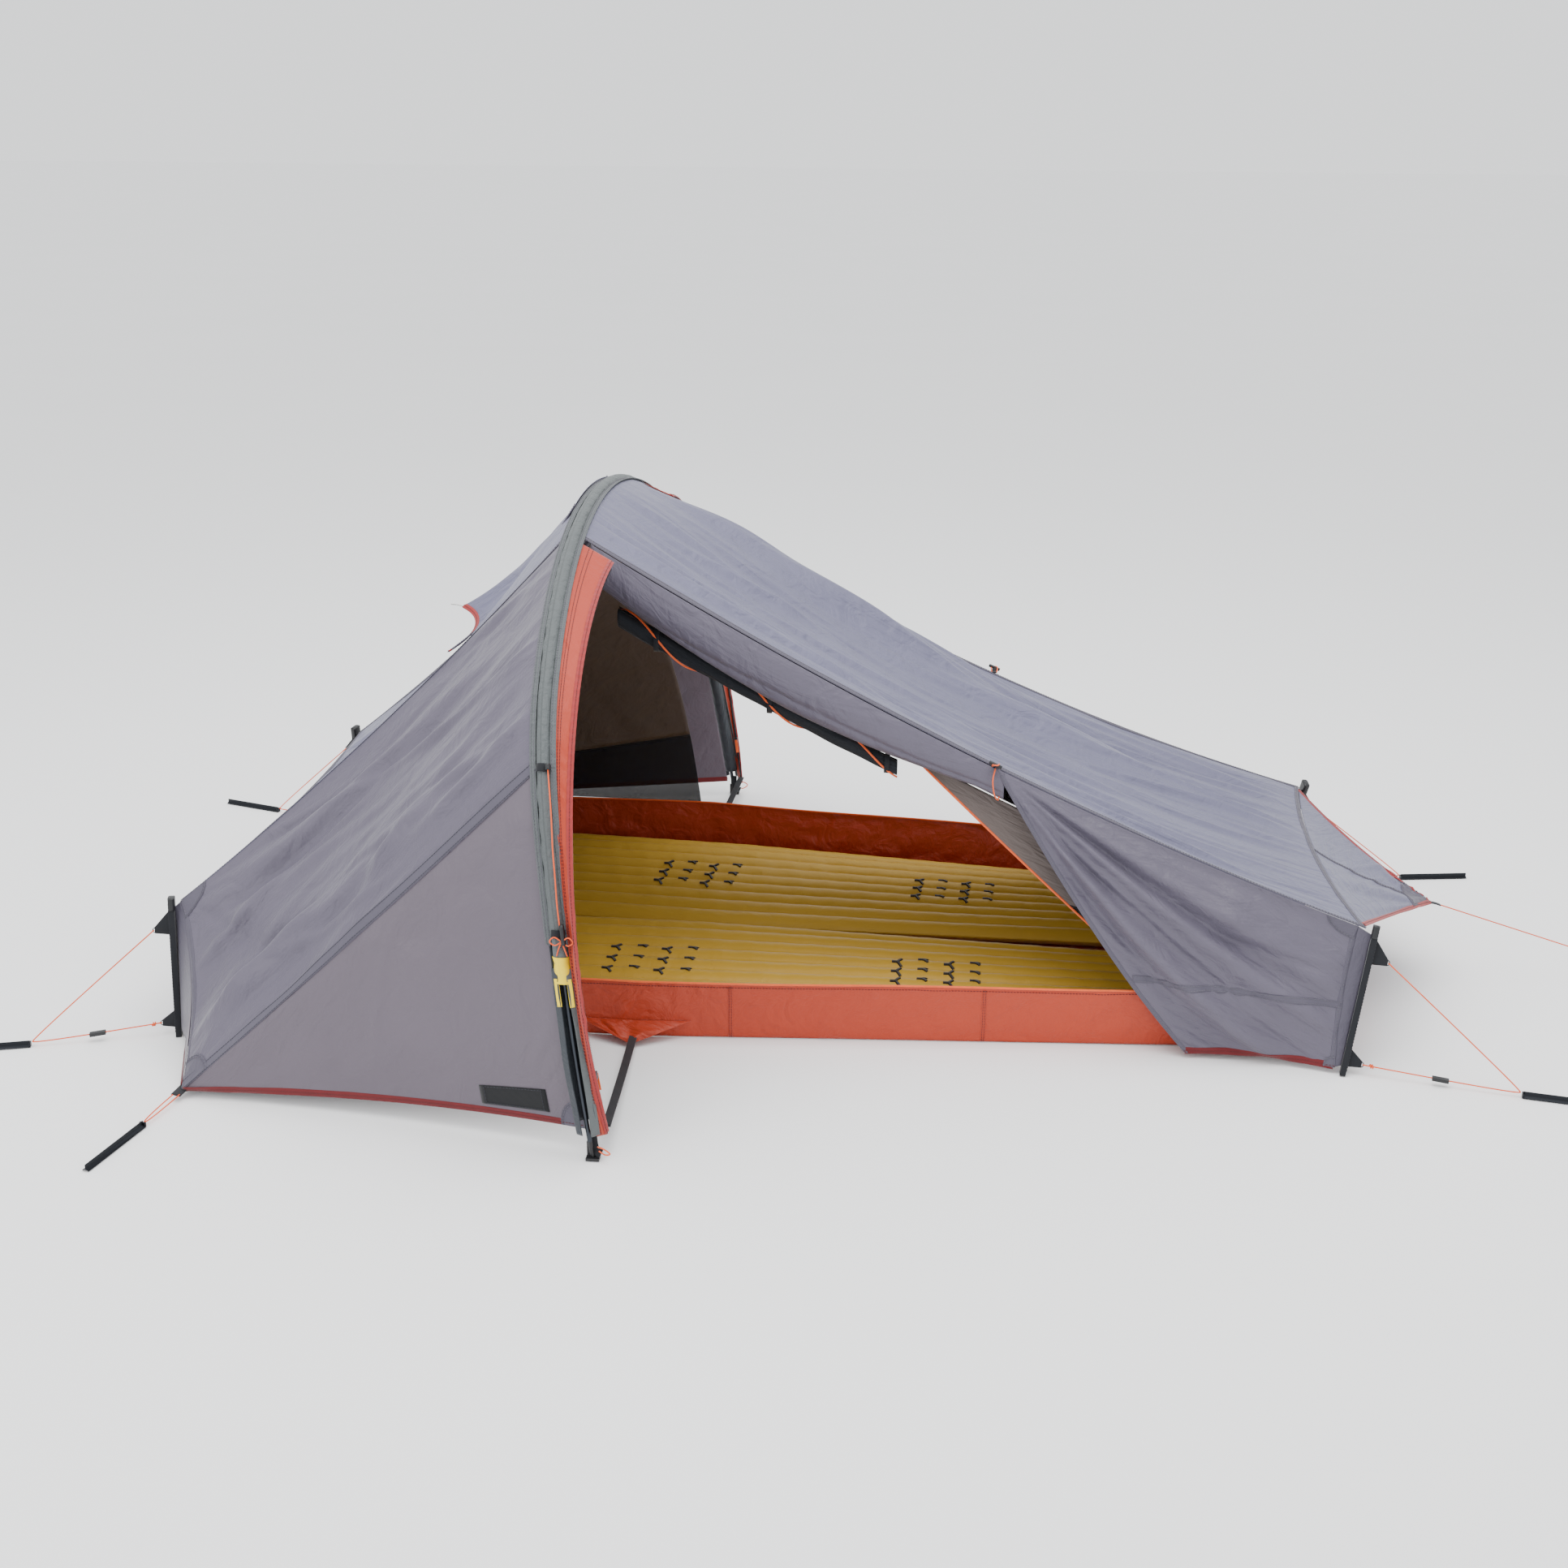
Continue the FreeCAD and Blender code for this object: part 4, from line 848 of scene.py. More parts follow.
    def stitch_tree(self) -> bpy.types.GeometryNodeTree:
        """A node tree that turns polylines into rows of small raised stitches."""
        tree = bpy.data.node_groups.new("stitch_rows", "GeometryNodeTree")
        face = tree.interface
        face.new_socket(name="Geometry", in_out="INPUT", socket_type="NodeSocketGeometry")
        for name, value in (("Spacing", 0.006), ("Length", 0.0042), ("Width", 0.0010)):
            face.new_socket(name=name, in_out="INPUT", socket_type="NodeSocketFloat").default_value = value
        face.new_socket(name="Thread", in_out="INPUT", socket_type="NodeSocketMaterial")
        face.new_socket(name="Geometry", in_out="OUTPUT", socket_type="NodeSocketGeometry")
        made = {name: tree.nodes.new(kind) for name, kind in (
            ("start", "NodeGroupInput"), ("end", "NodeGroupOutput"), ("curve", "GeometryNodeMeshToCurve"),
            ("along", "GeometryNodeCurveToPoints"), ("cube", "GeometryNodeMeshCube"),
            ("size", "ShaderNodeCombineXYZ"), ("put", "GeometryNodeInstanceOnPoints"),
            ("real", "GeometryNodeRealizeInstances"), ("paint", "GeometryNodeSetMaterial"))}
        made["along"].mode = "LENGTH"
        for source, out, target, into in (
                ("start", "Geometry", "curve", "Mesh"), ("curve", "Curve", "along", "Curve"),
                ("start", "Spacing", "along", "Length"), ("start", "Width", "size", "X"),
                ("start", "Width", "size", "Y"), ("start", "Length", "size", "Z"),
                ("size", "Vector", "cube", "Size"), ("along", "Points", "put", "Points"),
                ("along", "Rotation", "put", "Rotation"), ("cube", "Mesh", "put", "Instance"),
                ("put", "Instances", "real", "Geometry"), ("real", "Geometry", "paint", "Geometry"),
                ("start", "Thread", "paint", "Material"), ("paint", "Geometry", "end", "Geometry")):
            tree.links.new(made[source].outputs[out], made[target].inputs[into])
        return tree

    def finish_seams(self) -> int:
        """Turns every noted row into stitches. Returns the number of rows."""
        tree = self.stitch_tree()
        threads = {"thread": self.f.thread, "dark": self.f.dark_thread, "red": self.f.red_thread,
                   "print_mat_near": self.f.mark, "print_mat_far": self.f.mark}
        done = 0
        for name, rows in self.seams.items():
            points, edges, start = [], [], 0
            for row in rows:
                points += row.tolist()
                edges += [(start + k, start + k + 1) for k in range(len(row) - 1)]
                start += len(row)
                done += 1
            mesh = bpy.data.meshes.new("stitches_" + name)
            mesh.from_pydata(points, edges, [])
            obj = linked("stitches_" + name, mesh)
            modifier = obj.modifiers.new("rows", "NODES")
            modifier.node_group = tree
            values: dict[str, Any] = {"Thread": threads[name]}
            if name.startswith("print"):
                values.update({"Spacing": 0.0012, "Length": 0.0030, "Width": 0.0044})
            for item in tree.interface.items_tree:
                if item.name in values:
                    modifier[item.identifier] = values[item.name]
            bpy.context.view_layer.update()
            graph = bpy.context.evaluated_depsgraph_get()
            baked = bpy.data.meshes.new_from_object(obj.evaluated_get(graph), depsgraph=graph)
            obj.modifiers.clear()
            obj.data = baked
            self.fix(obj, "fly_fabric")
        return done

    def refine(self, node: str, material: bpy.types.Material, slot: str, bevel: float,
               body: str = "root") -> bpy.types.Object:
        """A softened copy of a hard CAD node that stands for it."""
        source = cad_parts[node]
        mesh = source.data.copy()
        work = bmesh.new()
        work.from_mesh(mesh)
        bmesh.ops.remove_doubles(work, verts=work.verts[:], dist=2e-5)
        bmesh.ops.dissolve_limit(work, angle_limit=math.radians(1.0), verts=work.verts[:],
                                 edges=work.edges[:])
        work.to_mesh(mesh)
        work.free()
        mesh.materials.clear()
        mesh.materials.append(material)
        mesh.shade_smooth()
        obj = linked(node + "_fine", mesh)
        if bevel > 0:
            soft = obj.modifiers.new("soft edges", "BEVEL")
            soft.width = bevel
            soft.segments = 2
            soft.limit_method = "ANGLE"
            soft.angle_limit = math.radians(32)
            soft.harden_normals = True
        self.fix(obj, slot, body)
        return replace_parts(obj, node)


# --- Shared lines of the outer tent
SLEEVE_OUTER = 13.0
REACH = SLEEVE_OUTER + 2.0
SEAM_TURN = 75.0
DIAGONAL_TURN = 33.0
HEAD_STRUT_BASE, HEAD_STRUT_TOP = mm(-900, -590, 0), mm(-902, -559, 265)
FOOT_STRUT_BASE, FOOT_STRUT_TOP = mm(1350, -490, 0), mm(1396, -420, 265)
STRUTS = {"head": (HEAD_STRUT_BASE, HEAD_STRUT_TOP), "foot": (FOOT_STRUT_BASE, FOOT_STRUT_TOP)}
LAP = mm(0, -0.6, -0.9)    # how a wall lies outside and under the roof it is sewn to
HEAD_CLOTH = HEAD_STRUT_TOP + mm(16, 8, 3)
FOOT_CLOTH = FOOT_STRUT_TOP + mm(-16, 8, 3)
FLY_CORNER = mm(-793, -829, 14)
DOOR_HEM_START = mm(1060, -458, 12)
BEAK_TIP = mm(1599, 0, 163)
HOOD_TIP = mm(-455, 0, 734)
TOGGLE_SHARE = 0.53
HEAD_SEAM = sagged(HOOP.at(SEAM_TURN, 3.0, -REACH), HEAD_CLOTH, mm(0, 12, -26))
FOOT_SEAM = sagged(HOOP.at(SEAM_TURN, 3.0, REACH), FOOT_CLOTH, mm(0, 30, -56))
HEAD_TOP = sagged(HEAD_CLOTH, HEAD_CLOTH * MIRROR, mm(14, 0, -10))
FOOT_TOP = sagged(FOOT_CLOTH, FOOT_CLOTH * MIRROR, mm(-30, 0, 0))
HEM = sagged(mm(-16, -936, 44), FLY_CORNER, mm(0, 22, 6))
DIAGONAL = sagged(HOOP.at(DIAGONAL_TURN, 3.0, -REACH), FLY_CORNER, mm(0, 14, -10))


@dataclass
class OuterTent:
    """Roof, side walls, hanging and gathered doors, beak and vent hood of the fly."""

    shop: Workshop

    def build(self) -> None:
        """Builds every outer panel with its bindings, bands and patches."""
        self.roofs()
        for side in Side:
            self.head_walls(side)
            self.hanging_door(side)
            self.gathered_door(side)
        self.head_end()
        self.beak()
        self.hood()

    def roofs(self) -> None:
        """The two roof panels with their fine lengthwise creases and double-stitched edges."""
        f = self.shop.f
        crown_head = HOOP.edge(SEAM_TURN, 180 - SEAM_TURN, -REACH)
        crown_foot = HOOP.edge(SEAM_TURN, 180 - SEAM_TURN, REACH)
        head = coons(HEAD_SEAM, mirrored(HEAD_SEAM), crown_head, HEAD_TOP, 130, 190, bulge(mm(0, 0, -62)))
        head = relieved(head, Creases(60, 0.0068, 0.012, 0.75, 0, 5, seed=11),
                        Creases(14, 0.0150, 0.045, 0.9, 0, 6, seed=12))
        foot = coons(FOOT_SEAM, mirrored(FOOT_SEAM), crown_foot, FOOT_TOP, 190, 190, bulge(mm(0, 0, -45)))
        foot = relieved(foot, Creases(80, 0.0080, 0.011, 0.9, 0, 4, seed=13),
                        Creases(18, 0.0200, 0.042, 1.2, 0, 5, seed=14))
        for name, grid in (("fly_roof_head", head), ("fly_roof_foot", foot)):
            panel = Panel(name + "_cloth", grid, f.roof, "fly_fabric", ("pole_section_3", "strut_covers"),
                          replaces=(name,)).build()
            t = shares(120)
            for which, v in (("near", 0.0), ("far", 1.0)):
                inset = 0.006 / panel.size()[0]
                at = inset if v == 0.0 else 1 - inset
                self.shop.band(f"{name}_seam_{which}", panel, t, np.full(120, at), 0.012, f.band, "thread")
            end = np.linspace(0.01, 0.99, 120)
            self.shop.band(name + "_end_tape", panel, np.full(120, 1 - 0.005 / panel.size()[1]), end, 0.010,
                           f.band, "thread", rows=1)

    def head_walls(self, side: Side) -> None:
        """The two triangles of a head wall, the reinforced seam between them and the hem."""
        f, shop, name = self.shop.f, self.shop, side.label
        end_edge = sagged(FLY_CORNER + LAP, HEAD_CLOTH + LAP, mm(14, 20, 0))
        upper = coons(moved(DIAGONAL, LAP), moved(HEAD_SEAM, LAP),
                      HOOP.edge(DIAGONAL_TURN, SEAM_TURN, -REACH),
                      end_edge, 160, 120, bulge(mm(0, 18, 0)))
        leg = HOOP.edge(1.6, DIAGONAL_TURN, -REACH)
        lower = coons(HEM, DIAGONAL, leg, lambda t: np.broadcast_to(FLY_CORNER, (len(t), 3)), 150, 90,
                      bulge(mm(0, 14, 0)))
        seed = 20 if side is Side.NEAR else 30
        upper = relieved(side.place(upper), Creases(46, 0.0096, 0.013, 0.55, 4, 9, seed=seed),
                         Creases(12, 0.0175, 0.036, 0.8, 2, 6, seed=seed + 1),
                         Fan(0.99, 0.99, 15.0, 0.0030, 0.25, seed=seed + 2))
        lower = relieved(side.place(lower), Creases(14, 0.0050, 0.030, 0.5, 3, 12, seed=seed + 3),
                         Creases(12, 0.0026, 0.012, 0.25, 70, 25, seed=seed + 4))
        top = Panel(f"fly_head_upper_{name}_cloth", upper, f.side, "fly_fabric",
                    ("pole_section_2", "strut_covers"), replaces=(f"fly_head_upper_{name}",)).build()
        low = Panel(f"fly_head_lower_{name}_cloth", lower, f.lower, "fly_fabric",
                    ("pole_section_1",), replaces=(f"fly_head_lower_{name}",)).build()
        t = shares(150)
        wide = 0.011 / top.size()[0]
        shop.band(f"head_diagonal_{name}", top, t, np.full(150, wide), 0.020, f.band, "dark")
        shop.edge(f"head_wall_end_{name}", top, "right", 0.010, f.band, "thread")
        shop.edge(f"head_hem_{name}", low, "bottom", 0.013, f.binding, "red", end=0.995)
        corner = 0.065
        shop.corner(f"head_strut_patch_{name}", top, 1.0, 1.0, corner, f.band)
        shop.corner(f"head_peg_patch_{name}", top, 1.0, 0.0, corner * 1.15, f.band)
        shop.corner(f"hoop_foot_patch_{name}", low, 0.0, 0.0, 0.055, f.band)
        shop.join(f"head_strut_flap_{name}", top.grid[-1, 24:],
                  side.place(line(HEAD_STRUT_BASE + mm(4, 3, 16), HEAD_STRUT_TOP + mm(4, 3, -8))(
                      shares(top.grid.shape[1] - 24))), f.band)
        if side is Side.NEAR:
            shop.patch("maker_label", low, lambda a, b: (0.082 + 0.165 * a, 0.035 + 0.075 * b),
                       f.label, "webbing", 0.0014, 0.0008, "dark")

    def head_end(self) -> None:
        """The end wall at the head, with a wing out to each pegged corner."""
        wing_share = 0.2

        def half_low(t: Array) -> Array:
            """Near half of the lower edge."""
            foot = mm(-900 + 17, -590 + 14, 26)
            wing = line(FLY_CORNER + mm(-4, 5, 0), foot)(t / wing_share)
            middle = line(foot, foot * np.array([1.0, 0.0, 1.0]))((t - wing_share) / (0.5 - wing_share))
            return np.where((t < wing_share)[:, None], wing, middle)

        def half_top(t: Array) -> Array:
            """Near half of the upper edge."""
            wing = wing_share * 0.1
            share = np.where(t < wing_share, t * 0.1,
                             wing + (t - wing_share) / (0.5 - wing_share) * (0.5 - wing))
            return HEAD_TOP(share) + mm(-3, 3, -3)

        def whole(half: Curve) -> Curve:
            """Both halves of an edge."""
            return lambda t: np.where((t > 0.5)[:, None], half(1 - t) * MIRROR, half(t))

        t = shares(201)
        v = shares(41)[None, :, None]
        low, top = whole(half_low)(t)[:, None], whole(half_top)(t)[:, None]
        wing = np.clip(1 - np.minimum(t, 1 - t) / wing_share, 0, 1)[:, None, None]
        pull = wing * 4 * v * (1 - v) * np.where((t > 0.5)[:, None, None], mm(12, -22, 0), mm(12, 22, 0))
        grid = relieved(low + (top - low) * v + pull, Creases(26, 0.0030, 0.016, 0.22, 80, 16, seed=41))
        panel = Panel("fly_head_end_cloth", grid, self.shop.f.lower, "fly_fabric", ("strut_covers",),
                      replaces=("fly_head_end",)).build()
        self.shop.edge("head_end_hem", panel, "bottom", 0.012, self.shop.f.binding, "red")

    def hanging_door(self, side: Side) -> None:
        """The part of a door that hangs from the roof seam to the ground behind the toggle."""
        f, shop, name = self.shop.f, self.shop, side.label
        post = sagged(DOOR_HEM_START + mm(272, -30, 0), FOOT_CLOTH + mm(-2, -4, -6), mm(-6, 0, 0))
        free = sagged(DOOR_HEM_START, FOOT_SEAM(np.array([TOGGLE_SHARE]))[0] + mm(0, -4, -30),
                      mm(12, -24, -40))
        hem = sagged(DOOR_HEM_START, post(np.array([0.0]))[0], mm(0, 12, 3))
        top = moved(part_of(FOOT_SEAM, TOGGLE_SHARE, TOGGLE_SHARE + (0.99 - TOGGLE_SHARE)), LAP)
        grid = side.place(coons(hem, top, free, post, 110, 130, bulge(mm(0, -16, 0))))
        seed = 50 if side is Side.NEAR else 60
        grid = relieved(grid, Fan(0.0, 1.0, 17.0, 0.0095, 0.34, seed=seed),
                        Creases(16, 0.0070, 0.018, 0.40, -52, 14, seed=seed + 1),
                        Creases(9, 0.0085, 0.022, 0.32, 4, 8, seed=seed + 2))
        panel = Panel(f"fly_door_hanging_{name}_cloth", grid, f.side, "fly_fabric",
                      ("strut_covers", f"door_toggle_{name}"), "hung",
                      replaces=(f"fly_door_hanging_{name}",)).build()
        shop.edge(f"door_free_edge_{name}", panel, "left", 0.009, f.band, "thread")
        shop.edge(f"door_hem_{name}", panel, "bottom", 0.014, f.binding, "red")
        shop.edge(f"door_post_tape_{name}", panel, "right", 0.010, f.band, "thread")
        t = np.linspace(0.03, 1.0, 90)
        shop.band(f"door_cross_seam_{name}", panel, t, 0.34 + 0.10 * t, 0.014, f.band, "thread")
        shop.corner(f"door_strut_patch_{name}", panel, 1.0, 1.0, 0.062, f.band)
        shop.corner(f"door_hem_patch_{name}", panel, 1.0, 0.0, 0.050, f.band)
        shop.join(f"foot_strut_flap_{name}", panel.grid[-1],
                  side.place(line(FOOT_STRUT_BASE + mm(-4, 3, 16), FOOT_STRUT_TOP + mm(-4, 3, -8))(
                      shares(panel.grid.shape[1]))), f.band)

    def gathered_door(self, side: Side) -> None:
        """The rest of the door, rolled loosely and tied up under the roof seam."""
        f, name = self.shop.f, side.label
        t = shares(170)
        seam = FOOT_SEAM(0.012 + TOGGLE_SHARE * t) + mm(0, -2.0, -1.5)
        section = smooth_path([mm(*p, 0) for p in (
            (0, 0), (-9, -24), (-15, -54), (-13, -84), (-2, -104), (14, -106), (25, -90), (27, -66),
            (18, -48),
            (6, -50), (1, -68), (6, -86), (15, -82), (14, -66))], 170)
        rng = np.random.default_rng(70 if side is Side.NEAR else 71)
        run = shares(170)
        wave = np.zeros((170, 170))
        for _ in range(15):
            mid, drift = rng.uniform(0.06, 0.95), rng.uniform(-0.16, 0.16)
            bend = 0.02 * np.sin(t * rng.uniform(3, 9) + rng.uniform(0, 6))
            depth = rng.uniform(2.0, 5.0) * rng.choice([1.0, -1.0]) * MM
            body = np.exp(-((t - rng.uniform(0.1, 0.9)) / rng.uniform(0.3, 0.7)) ** 2)
            wave += depth * body[:, None] * np.exp(
                -((run[None] - mid - (drift * (t - 0.5) + bend)[:, None]) / 0.028) ** 2)
        ahead = tangents_of(section)
        normal = np.stack([-ahead[:, 1], ahead[:, 0]], -1)
        size = 0.80 * (0.62 + 0.44 * np.sin(np.clip(t * 1.25 + 0.18, 0, 1.35) * math.pi / 1.35))[:, None]
        window = np.clip(run / 0.05, 0, 1)[None]
        across = section[None, :, 0] * size * 0.95 + normal[None, :, 0] * wave * window
        down = section[None, :, 1] * size + normal[None, :, 1] * wave * window
        grid = seam[:, None] + np.stack([np.zeros(across.shape), across, down], -1)
        Panel(f"fly_door_gathered_{name}_cloth", side.place(grid), f.side, "fly_fabric",
              (f"door_toggle_{name}", "pole_section_3"), "gathered",
              replaces=(f"fly_door_gathered_{name}",)).build()

    def beak(self) -> None:
        """The peak over the foot end, with a centre seam and a small reinforced tip."""
        f, shop = self.shop.f, self.shop

        def root(t: Array) -> Array:
            """The edge sewn to the roof."""
            return FOOT_TOP(0.02 + 0.96 * np.asarray(t, float)) + mm(2, 0, -1)

        ends = root(ENDS)
        grid = coons(root, lambda t: np.broadcast_to(BEAK_TIP, (len(t), 3)),
                     sagged(ends[0], BEAK_TIP, mm(-12, 0, -4)), sagged(ends[1], BEAK_TIP, mm(-12, 0, -4)),
                     110, 70)
        grid = relieved(grid, Creases(22, 0.0026, 0.012, 0.25, 84, 14, seed=81),
                        Fan(0.5, 0.99, 13.0, 0.0026, 0.15, seed=82))
        panel = Panel("fly_beak_cloth", grid, f.roof, "fly_fabric", ("strut_covers",),
                      replaces=("fly_beak",)).build()
        v = np.linspace(0.0, 0.97, 60)
        shop.band("beak_centre_seam", panel, np.full(60, 0.5), v, 0.010, f.band, "thread")
        shop.edge("beak_near_binding", panel, "left", 0.011, f.bright_binding, "red")
        shop.edge("beak_far_binding", panel, "right", 0.011, f.bright_binding, "red")
        shop.patch("beak_tip_patch", panel, lambda a, b: (a, 0.80 + 0.18 * b), f.band, lift=0.0012,
                   stitch="thread")
        tip = np.stack([BEAK_TIP + mm(-14, 0, 0), BEAK_TIP + mm(8, 0, -2), BEAK_TIP + mm(22, 0, -6)])
        shop.strip("beak_tip_webbing", smooth_path(tip, 14), np.array([0.25, 0.0, 1.0]), 0.012, 0.0022,
                   f.webbing, "webbing")

    def hood(self) -> None:
        """The vent hood below the crown, pulled out to a point."""
        f, shop = self.shop.f, self.shop
        crown = HOOP.edge(82.0, 98.0, -REACH)
        start = crown(np.array([0.0]))[0] + mm(-8, 0, 5)
        near = sagged(start, mm(-455, -130, 668), mm(0, 0, -8))
        half = sagged(mm(-455, -130, 668), HOOD_TIP, mm(44, 0, 8))

        def mouth(t: Array) -> Array:
            """The open edge, from the near corner over the tip to the far corner."""
            t = np.asarray(t, float)
            return np.where((t <= 0.5)[:, None], half(2 * t), half(2 - 2 * t) * MIRROR)

        grid = coons(near, mirrored(near), moved(crown, mm(-8, 0, 5)), mouth, 80, 80)
        u = shares(81)[:, None]
        grid = grid + mm(0, 0, -22) * (4 * u * (1 - u))[..., None]
        grid = relieved(grid, Creases(16, 0.0030, 0.012, 0.3, 0, 9, seed=91))
        panel = Panel("fly_vent_hood_cloth", grid, f.roof, "fly_fabric", ("pole_section_3",),
                      replaces=("fly_vent_hood",)).build()
        shop.edge("hood_mouth_binding", panel, "right", 0.012, f.bright_binding, "red")
        shop.edge("hood_near_binding", panel, "bottom", 0.008, f.band, "thread")
        shop.edge("hood_far_binding", panel, "top", 0.008, f.band, "thread")
        loop = [HOOD_TIP + mm(4, 0, 0), HOOD_TIP + mm(-16, -6, 6), HOOD_TIP + mm(-24, 0, 4),
                HOOD_TIP + mm(-14, 6, 2)]
        shop.tube("hood_tip_loop", smooth_path(loop, 24), 0.003, f.pale_cord, "elastic")


# --- Sleeve and strips
@dataclass
class HoopSleeve:
    """The fabric sleeve over the pole with its flanges, cuffs, flaps and small loops."""

    shop: Workshop
    end_turn: float = 12.0

    def build(self) -> None:
        """Builds the sleeve and what is sewn on it."""
        self.tube()
        self.backing()
        for side in Side:
            self.leg(side)
        self.stow_tabs()

    def tube(self) -> None:
        """The sleeve: a tube with small puckers beside its two seams."""
        f = self.shop.f
        turns = HOOP.turn_at(self.end_turn + 0.5, 179.5 - self.end_turn, shares(560))
        a = 2 * np.pi * np.arange(28) / 28
        rng = np.random.default_rng(5)
        run = np.linspace(0, 2.55, 560)[:, None]
        pucker = 0.0
        for _ in range(14):
            waves, phase, lean = rng.uniform(18, 70), rng.uniform(0, 6), rng.uniform(-1.5, 1.5)
            pucker = pucker + 0.16 * np.sin(run * waves * 2 + phase + lean * np.sin(a)[None] * 2) * (
                0.4 + np.abs(np.sin(a))[None])
        swell = 1.2 * np.sin(run * 9 + 1) + pucker
        radius = SLEEVE_OUTER - 0.6 + np.clip(swell, -1.6, 1.6) * 0.6
        rings = HOOP.at(turns[:, None], radius * np.cos(a)[None], radius * np.sin(a)[None])
        made = self.shop.fix(loft("hoop_sleeve_tube", rings, f.sleeve), "sleeve_fabric")
        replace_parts(made, "fly_hoop_sleeve")
        for way, label in ((-1.0, "head"), (1.0, "foot")):
            t = HOOP.turn_at(13.6, 166.4, shares(300))
            line_ = HOOP.at(t, 4.0, way * 17.5)
            up = HOOP.at(t, 14.0, way * 17.5) - line_
            self.shop.strip(f"sleeve_flange_{label}", line_, up, 0.011, 0.0022, f.sleeve, "sleeve_fabric")
            for offset in (15.2, 20.4):
                self.shop.sew("thread", HOOP.at(t, 5.6, way * offset))

    def backing(self) -> None:
        """The strip of cloth inside the hoop that joins the panels on its two sides."""
        turns = HOOP.turn_at(2.4, 177.6, shares(420))[:, None]
        v = np.linspace(-1, 1, 13)[None]
        grid = HOOP.at(turns, -12.0 - 3.0 * (1 - v ** 2) + 15.0 * np.abs(v) ** 3, v * 17.5)
        grid = relieved(grid, Creases(60, 0.0009, 0.008, 0.03, 80, 20, seed=7))
        Panel("sleeve_backing_cloth", grid, self.shop.f.dark_flap, "sleeve_fabric",
              ("pole_section_3",)).build()

    def leg(self, side: Side) -> None:
        """Cuff, two open flaps and the bare pole's foot on one leg."""
        f, name = self.shop.f, side.label
        turns = HOOP.turn_at(11.3, 12.9, shares(26))
        a = 2 * np.pi * np.arange(26) / 26
        radius = SLEEVE_OUTER + 1.0 + 0.7 * np.cos(np.linspace(0, 4 * np.pi, 26))[:, None]
        rings = side.place(HOOP.at(turns[:, None], radius * np.cos(a)[None], radius * np.sin(a)[None]))
        cuff = self.shop.fix(loft(f"sleeve_cuff_{name}", rings, f.tape), "warning_tape")
        if side is Side.NEAR:
            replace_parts(cuff, "sleeve_cuffs")
        for way, finish, label in ((-1.0, f.dark_flap, "head"), (1.0, f.sleeve, "foot")):
            t = HOOP.turn_at(1.7, 12.2, shares(60))
            flap = side.place(HOOP.at(t, 5.0 + 1.5 * np.sin(t * 1.3), way * (15.0 - 1.5 * np.cos(t * 0.5))))
            up = side.place(HOOP.at(t, 14.0, way * 24)) - side.place(HOOP.at(t, 4.0, way * 15.5))
            self.shop.strip(f"sleeve_flap_{label}_{name}", flap, up, 0.017, 0.0018, finish, "sleeve_fabric")
            t = HOOP.turn_at(9.9, 11.6, shares(14))
            tab = side.place(HOOP.at(t, 9.5, way * 11.0))
            up = side.place(HOOP.at(t, 20.0, way * 14.0)) - tab
            self.shop.strip(f"cuff_tab_{label}_{name}", tab, up, 0.009, 0.0016, f.tape, "warning_tape")
        foot = HOOP.at(np.array([0.3]))[0]
        loop = [foot + mm(10, -2, 16), foot + mm(22, -14, 20), foot + mm(34, -16, 12), foot + mm(24, -8, 5),
                foot + mm(12, -2, 8)]
        self.shop.tube(f"foot_elastic_loop_{name}", side.place(smooth_path(loop, 30)), 0.0026, f.elastic,
                       "elastic")
        web = [foot + mm(0, 6, 44), foot + mm(0, 8, 24), foot + mm(4, 5, 7), foot + mm(16, -2, 3.5)]
        self.shop.strip(f"foot_webbing_{name}", side.place(smooth_path(web, 20)),
                        side.place(mm(0.25, -1.0, 0.35)) * 1000, 0.016, 0.0022, f.webbing, "webbing")

    def stow_tabs(self) -> None:
        """The two webbing tabs that hold the stowed guy on each leg, with a cord lock and a bow."""
        f, shop = self.shop.f, self.shop
        for side in Side:
            for label, turn in (("upper", 33.8), ("lower", 14.3)):
                t = np.linspace(-40, 70, 22)
                ring = side.place(HOOP.at(np.full(22, turn), (SLEEVE_OUTER + 1.4) * np.cos(np.radians(t)),
                                          (SLEEVE_OUTER + 1.4) * np.sin(np.radians(t))))
                axis = side.place(HOOP.at(turn + 0.5)) - side.place(HOOP.at(turn))
                up = ring - side.place(HOOP.at(turn))
                made = swept(ring, up, 0.015, 0.0018, 10, 0.45)
                shop.fix(loft(f"stow_tab_{label}_{side.label}", made, f.webbing), "webbing")
                lock = side.place(HOOP.at(np.array([turn - 0.6, turn + 0.6]), 18.0, 12.0))
                shop.fix(loft(f"stow_lock_{label}_{side.label}",
                              swept(np.linspace(lock[0], lock[1], 6), axis.ravel(
                ) + mm(1, 0, 0), 0.010, 0.008, 12, 0.7), f.plastic), "guy_cord")
            centre = side.place(HOOP.at(np.array([13.9]), 18.0, 9.0))[0]
            out = side.place(mm(0.1, -1, 0.1)) * 1000
            for k, sway in enumerate((-1.0, 1.0)):
                bow = [centre, centre + mm(sway * 12, 0, 9) + out * 4 * MM,
                       centre + mm(sway * 20, 0, 1) + out * 5 * MM,
                       centre + mm(sway * 11, 0, -6) + out * 3 * MM, centre]
                shop.tube(f"guy_bow_{side.label}_{k}", smooth_path(bow, 30), 0.0023, f.guy)
                tail = [centre, centre + mm(sway * 5, 0, -12) + out * 3 * MM, centre + mm(sway * 9, 0, -26)]
                shop.tube(f"guy_tail_{side.label}_{k}", smooth_path(tail, 16), 0.0023, f.guy)


